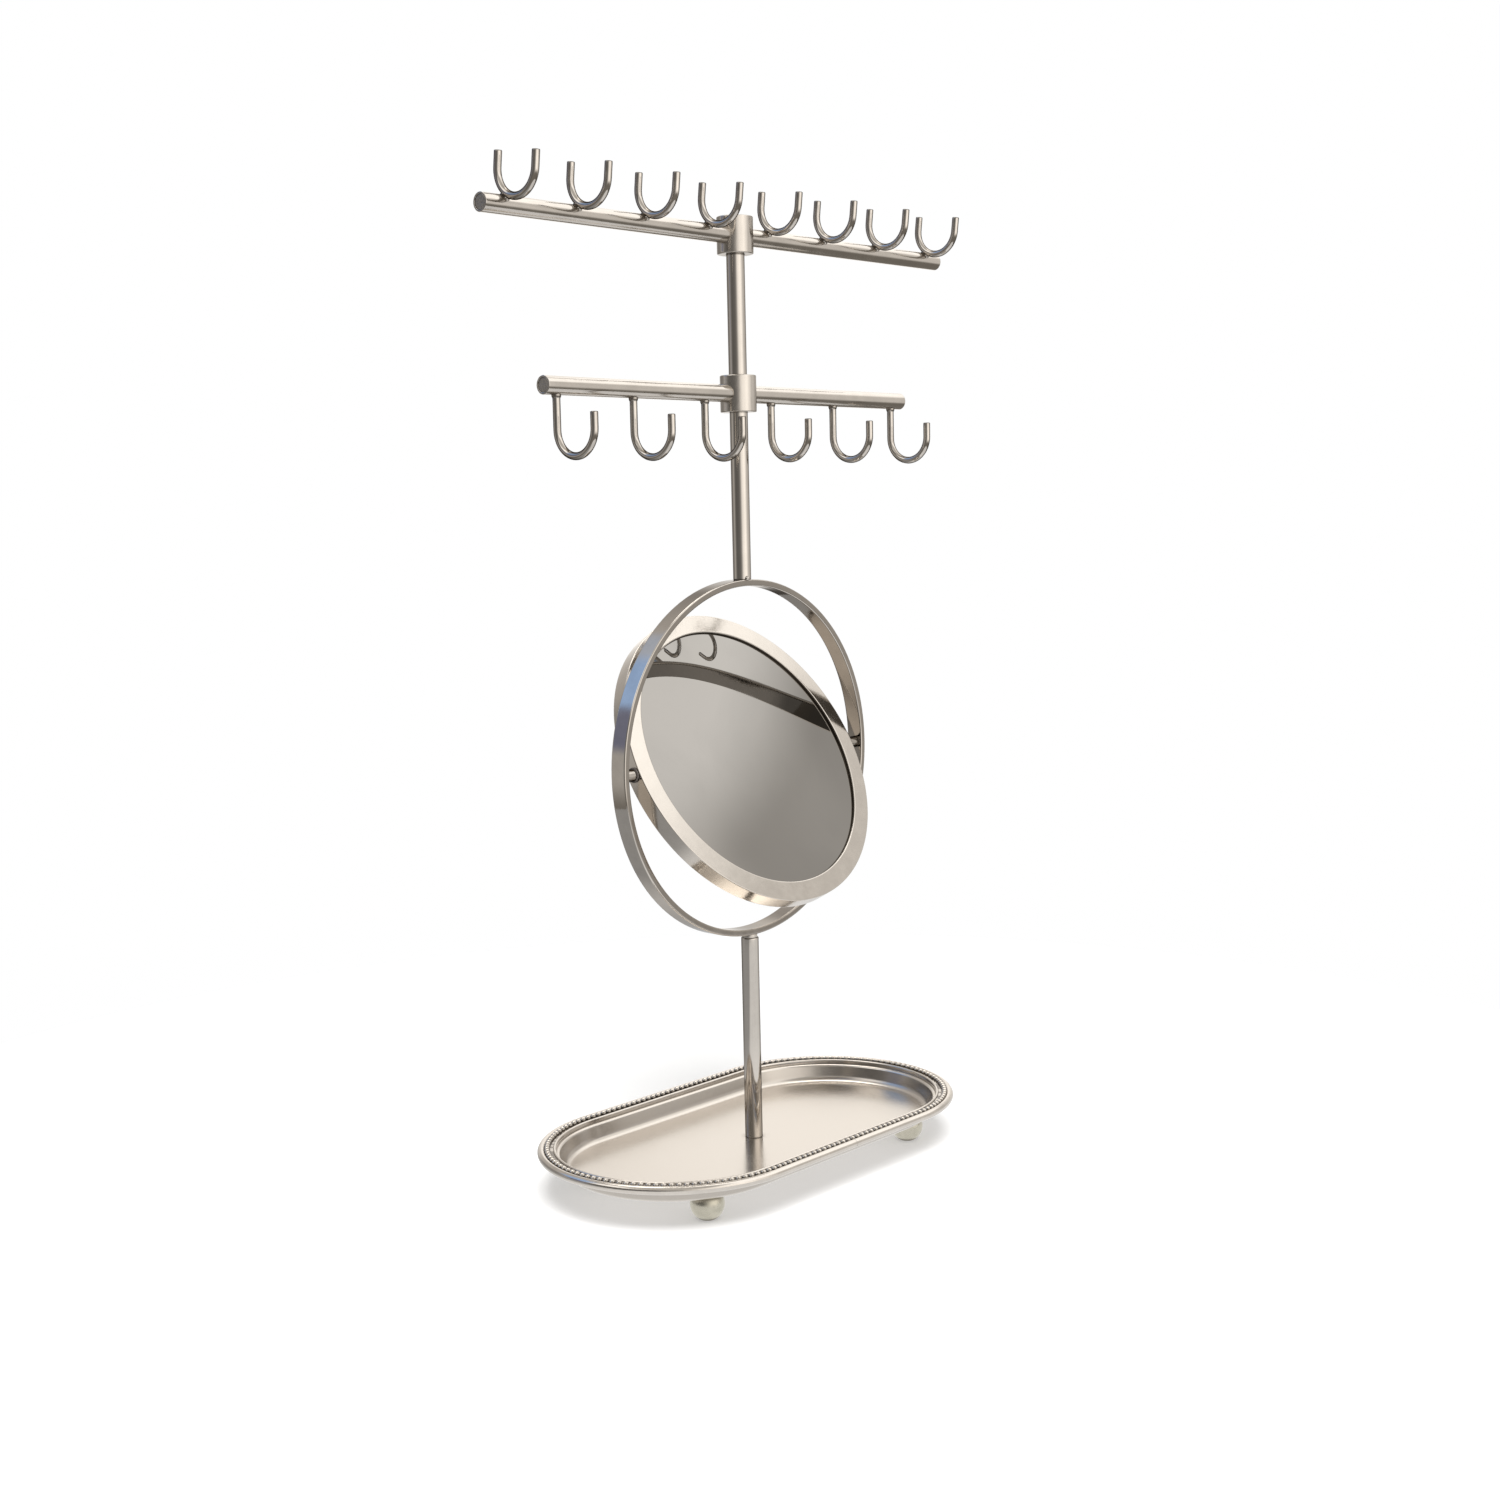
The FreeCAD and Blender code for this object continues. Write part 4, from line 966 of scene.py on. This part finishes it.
class STAND_OT_pivots(Operator):
    """Pins, spacers and friction washers that carry the mirror"""
    bl_idname = "stand.pivots"
    bl_label = "Pivots"

    def execute(self, context):
        nylon = shared_material("Black nylon", dull_plastic, colour=(0.12, 0.105, 0.095), roughness=0.4,
                                scale=600, change=0.2)
        pin_radius, spacer_bore = 2 * MM, 2.05 * MM
        edge, spacer_edge = 0.3 * MM, 0.8 * MM
        for side, turn in SIDES:
            place = Matrix.Translation((0, 0, HOOP_HEIGHT)) @ Matrix.Rotation(turn, 4, "Z")
            pin, spacer = f"pivot_pin_{side}", f"pivot_spacer_{side}"
            inner, outer = sorted(abs(corner.x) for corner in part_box(pin))
            turned_piece(pin, sleeve(0, pin_radius, inner, outer, 0, edge, edge, 0), nickel_for("hook"),
                         axis="x", facets=32, place=place)
            inner, outer = sorted(abs(corner.x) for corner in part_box(spacer))
            spacer_radius = half_width(spacer, 2)
            turned_piece(spacer, sleeve(spacer_bore, spacer_radius, inner, outer, 0, spacer_edge, edge, 0),
                         nickel_for("hook"), axis="x", facets=40, steps=5, place=place)
            dress(f"pivot_washer_{side}", nylon)
        return {"FINISHED"}


class STAND_OT_fasteners(Operator):
    """Materials for the screw, washer, studs and inserts, which keep their own shapes"""
    bl_idname = "stand.fasteners"
    bl_label = "Fasteners"

    def execute(self, context):
        zinc = shared_material("Zinc plated steel", plated_metal, colour=(0.58, 0.59, 0.6), roughness=0.28,
                               tone=0.1, grain=(900, 900, 900), recess=0.7)
        brass = shared_material("Turned brass", plated_metal, colour=(0.72, 0.5, 0.22), roughness=0.25,
                                tone=0.1, grain=(900, 900, 900), recess=0.6)
        for node in ("base_screw", "base_washer", "hoop_lower_stud", "hoop_upper_stud"):
            dress(node, zinc)
        for node in ("lower_post_foot_insert", "lower_post_head_insert", "upper_post_foot_insert"):
            dress(node, brass)
        return {"FINISHED"}


# ---------------------------------------------------------------- studio
def studio_card_group(name):
    """A soft round card of light or shade in one direction, laid over what is behind it."""
    group, given, result = new_tree(
        name, "ShaderNodeTree",
        [("Way", "Vector", (1.0, 0.0, 0.0)), ("Facing", "Vector", (1.0, 0.0, 0.0)),
         ("Edge", "Float", 0.9), ("Middle", "Float", 0.97),
         ("Behind", "Color", (0, 0, 0, 1)), ("Card", "Color", (1, 1, 1, 1))],
        [("Color", "Color")])
    nearness = vector_math(group, "DOT_PRODUCT", given["Way"], given["Facing"])
    cover = map_range(group, nearness, given["Edge"], given["Middle"], 0, 1)
    feed(group, result["Color"], mix_colour(group, cover, given["Behind"], given["Card"]))
    return group


def studio_world(strength):
    """Soft studio as a function of direction: overhead light, a horizon of light and shade, and cards."""
    world = bpy.data.worlds.new("Studio")
    bpy.context.scene.world = world
    world.use_nodes = True
    tree = world.node_tree
    way = add_node(tree, "ShaderNodeTexCoord").outputs["Generated"]
    height = parts_of(tree, way)["Z"]
    turned_way = add_node(tree, "ShaderNodeVectorRotate", {"Vector": way, "Angle": STUDIO_TURN},
                          rotation_type="Z_AXIS").outputs[0]
    level = parts_of(tree, turned_way)
    bearing = math_node(tree, "ARCTAN2", level["Y"], level["X"])
    along = map_range(tree, bearing, -math.pi, math.pi, 0, 1, smooth=False)
    ramp = add_node(tree, "ShaderNodeValToRGB", {0: along})
    ramp.color_ramp.interpolation = "EASE"
    elements = ramp.color_ramp.elements
    while len(elements) < len(HORIZON):
        elements.new(0.5)
    brightest = max(value for _, value in HORIZON)
    for element, (degrees, value) in zip(elements, HORIZON):
        element.position = (degrees + 180) / 360
        element.color = (*(value / brightest * tint for tint in HORIZON_TINT), 1)
    horizon = vector_math(tree, "SCALE", ramp.outputs[0], scale=brightest)
    overhead = map_range(tree, height, 0.4, 0.6, 0, 1)
    sky = mix_colour(tree, overhead, horizon, (*(strength * tint for tint in CEILING_TINT), 1))
    for around, above, edge, middle, colour in CARDS:
        turn, rise = math.radians(around), math.radians(above)
        facing = (math.cos(rise) * math.cos(turn), math.cos(rise) * math.sin(turn), math.sin(rise))
        sky = add_node(tree, "ShaderNodeGroup", {
            "Way": turned_way, "Facing": facing, "Edge": math.cos(math.radians(edge)),
            "Middle": math.cos(math.radians(middle)), "Behind": sky, "Card": (*colour, 1)},
            node_tree=shared_tree("Studio Card", studio_card_group)).outputs["Color"]
    beneath = map_range(tree, height, -0.12, -0.4, 0, 1)
    seen = mix_colour(tree, beneath, sky, GROUND_COLOUR)
    ray = add_node(tree, "ShaderNodeLightPath").outputs
    seen = mix_colour(tree, ray["Is Diffuse Ray"], seen, FILL_COLOUR)
    seen = mix_colour(tree, ray["Is Camera Ray"], seen, WHITE)
    feed(tree, tree.nodes["Background"].inputs["Color"], seen)


def pale_floor(tree, shader):
    """Pale floor that keeps shadows; in the metal it is seen as a white sheet that falls off outwards."""
    place = add_node(tree, "ShaderNodeTexCoord").outputs["Object"]
    far_away = vector_math(tree, "LENGTH", place)
    sideways = vector_math(tree, "DOT_PRODUCT", place, CAMERA_LEFT)
    fall_off = map_range(tree, far_away, 0.15, 0.35, 0.95, 0.8)
    dim = map_range(tree, sideways, 0.1, 0.22, 1, 0.45)
    mirrored_strength = math_node(tree, "MULTIPLY", fall_off, dim)
    lift, grey, black = 0.3, (0.79, 0.79, 0.79, 1), (0, 0, 0, 1)
    ray = add_node(tree, "ShaderNodeLightPath").outputs
    seen = math_node(tree, "MAXIMUM", ray["Is Camera Ray"], ray["Is Transmission Ray"])
    mirrored = math_node(tree, "MULTIPLY", ray["Is Glossy Ray"], mirrored_strength)
    glow = math_node(tree, "ADD", math_node(tree, "MULTIPLY", seen, lift), mirrored)
    shader.inputs["Roughness"].default_value = 0.9
    shader.inputs["Specular IOR Level"].default_value = 0.1
    shader.inputs["Emission Color"].default_value = WHITE
    feed(tree, shader.inputs["Base Color"], mix_colour(tree, ray["Is Glossy Ray"], grey, black))
    feed(tree, shader.inputs["Emission Strength"], glow)


def place_lamp(scene):
    """Large softbox before the stand, kept out of the reflections."""
    light = bpy.data.lights.new("Softbox", "AREA")
    light.shape = "RECTANGLE"
    light.size, light.size_y = 1, 0.8
    light.energy = 28
    lamp = bpy.data.objects.new("Softbox", light)
    scene.collection.objects.link(lamp)
    lamp.visible_glossy = False
    lamp.location = (-0.5, -0.55, 1.3)
    aim = Vector((0, 0, 0.1))
    lamp.rotation_mode = "QUATERNION"
    lamp.rotation_quaternion = (lamp.location - aim).to_track_quat("Z", "Y")


def place_camera(scene, lens):
    """Camera on a circle round the post, turned by its own yaw, pitch and roll."""
    camera = bpy.data.cameras.new("Camera")
    camera.lens, camera.sensor_width, camera.sensor_fit = lens, 36, "AUTO"
    camera.clip_start, camera.clip_end = 0.05, 20
    view = bpy.data.objects.new("Camera", camera)
    scene.collection.objects.link(view)
    bearing, yaw, pitch, roll = (math.radians(angle) for angle in (-47.66, -0.12, 6.66, -1.21))
    distance, height = 1.10654, 0.3667
    ahead = Matrix.Rotation(yaw, 3, "Z") @ Vector((-math.sin(bearing), math.cos(bearing), 0))
    right = Vector((ahead.y, -ahead.x, 0))
    forward = ahead * math.cos(pitch) - Vector((0, 0, math.sin(pitch)))
    up = right.cross(forward)
    right, up = (right * math.cos(roll) + up * math.sin(roll), up * math.cos(roll) - right * math.sin(roll))
    axes = Matrix((right, up, -forward)).transposed().to_4x4()
    axes.translation = Vector((math.sin(bearing) * distance, -math.cos(bearing) * distance, height))
    view.matrix_world = axes
    scene.camera = view


class STAND_OT_studio(Operator):
    """Round pale floor, soft studio light and the camera"""
    bl_idname = "stand.studio"
    bl_label = "Studio"

    def execute(self, context):
        scene = context.scene
        studio = scene.studio_settings
        studio_world(studio.dome)
        sheet = bmesh.new()
        bmesh.ops.create_circle(sheet, cap_ends=True, radius=studio.floor_radius, segments=96)
        mesh = bpy.data.meshes.new("studio_floor")
        sheet.to_mesh(mesh)
        sheet.free()
        new_piece("studio_floor", mesh)
        mesh.materials.append(shared_material("Studio floor", pale_floor))
        place_lamp(scene)
        place_camera(scene, studio.lens)
        scene.view_settings.view_transform = "Standard"
        return {"FINISHED"}


class STAND_PT_panel(Panel):
    """Buttons for each part of the stand"""
    bl_label = "Jewelry Stand"
    bl_idname = "STAND_PT_panel"
    bl_space_type = "VIEW_3D"
    bl_region_type = "UI"
    bl_category = "Jewelry Stand"

    def draw(self, context):
        for operator in OPERATORS:
            self.layout.operator(operator.bl_idname)


OPERATORS = (STAND_OT_tray, STAND_OT_border, STAND_OT_feet, STAND_OT_posts, STAND_OT_hoop, STAND_OT_tees,
             STAND_OT_bars, STAND_OT_upper_hooks, STAND_OT_lower_hooks, STAND_OT_mirror, STAND_OT_pivots,
             STAND_OT_fasteners, STAND_OT_studio)
SETTINGS = (("stand_sizes", StandSizes), ("stand_finish", StandFinish), ("studio_settings", StudioSettings))


def register():
    for name, group in SETTINGS:
        bpy.utils.register_class(group)
        setattr(bpy.types.Scene, name, PointerProperty(type=group))
    for cls in (*OPERATORS, STAND_PT_panel):
        bpy.utils.register_class(cls)


def unregister():
    for cls in (STAND_PT_panel, *reversed(OPERATORS)):
        bpy.utils.unregister_class(cls)
    for name, group in reversed(SETTINGS):
        delattr(bpy.types.Scene, name)
        bpy.utils.unregister_class(group)


def main():
    register()
    for operator in OPERATORS:
        group, action = operator.bl_idname.split(".")
        getattr(getattr(bpy.ops, group), action)()


if __name__ == "__main__":
    main()
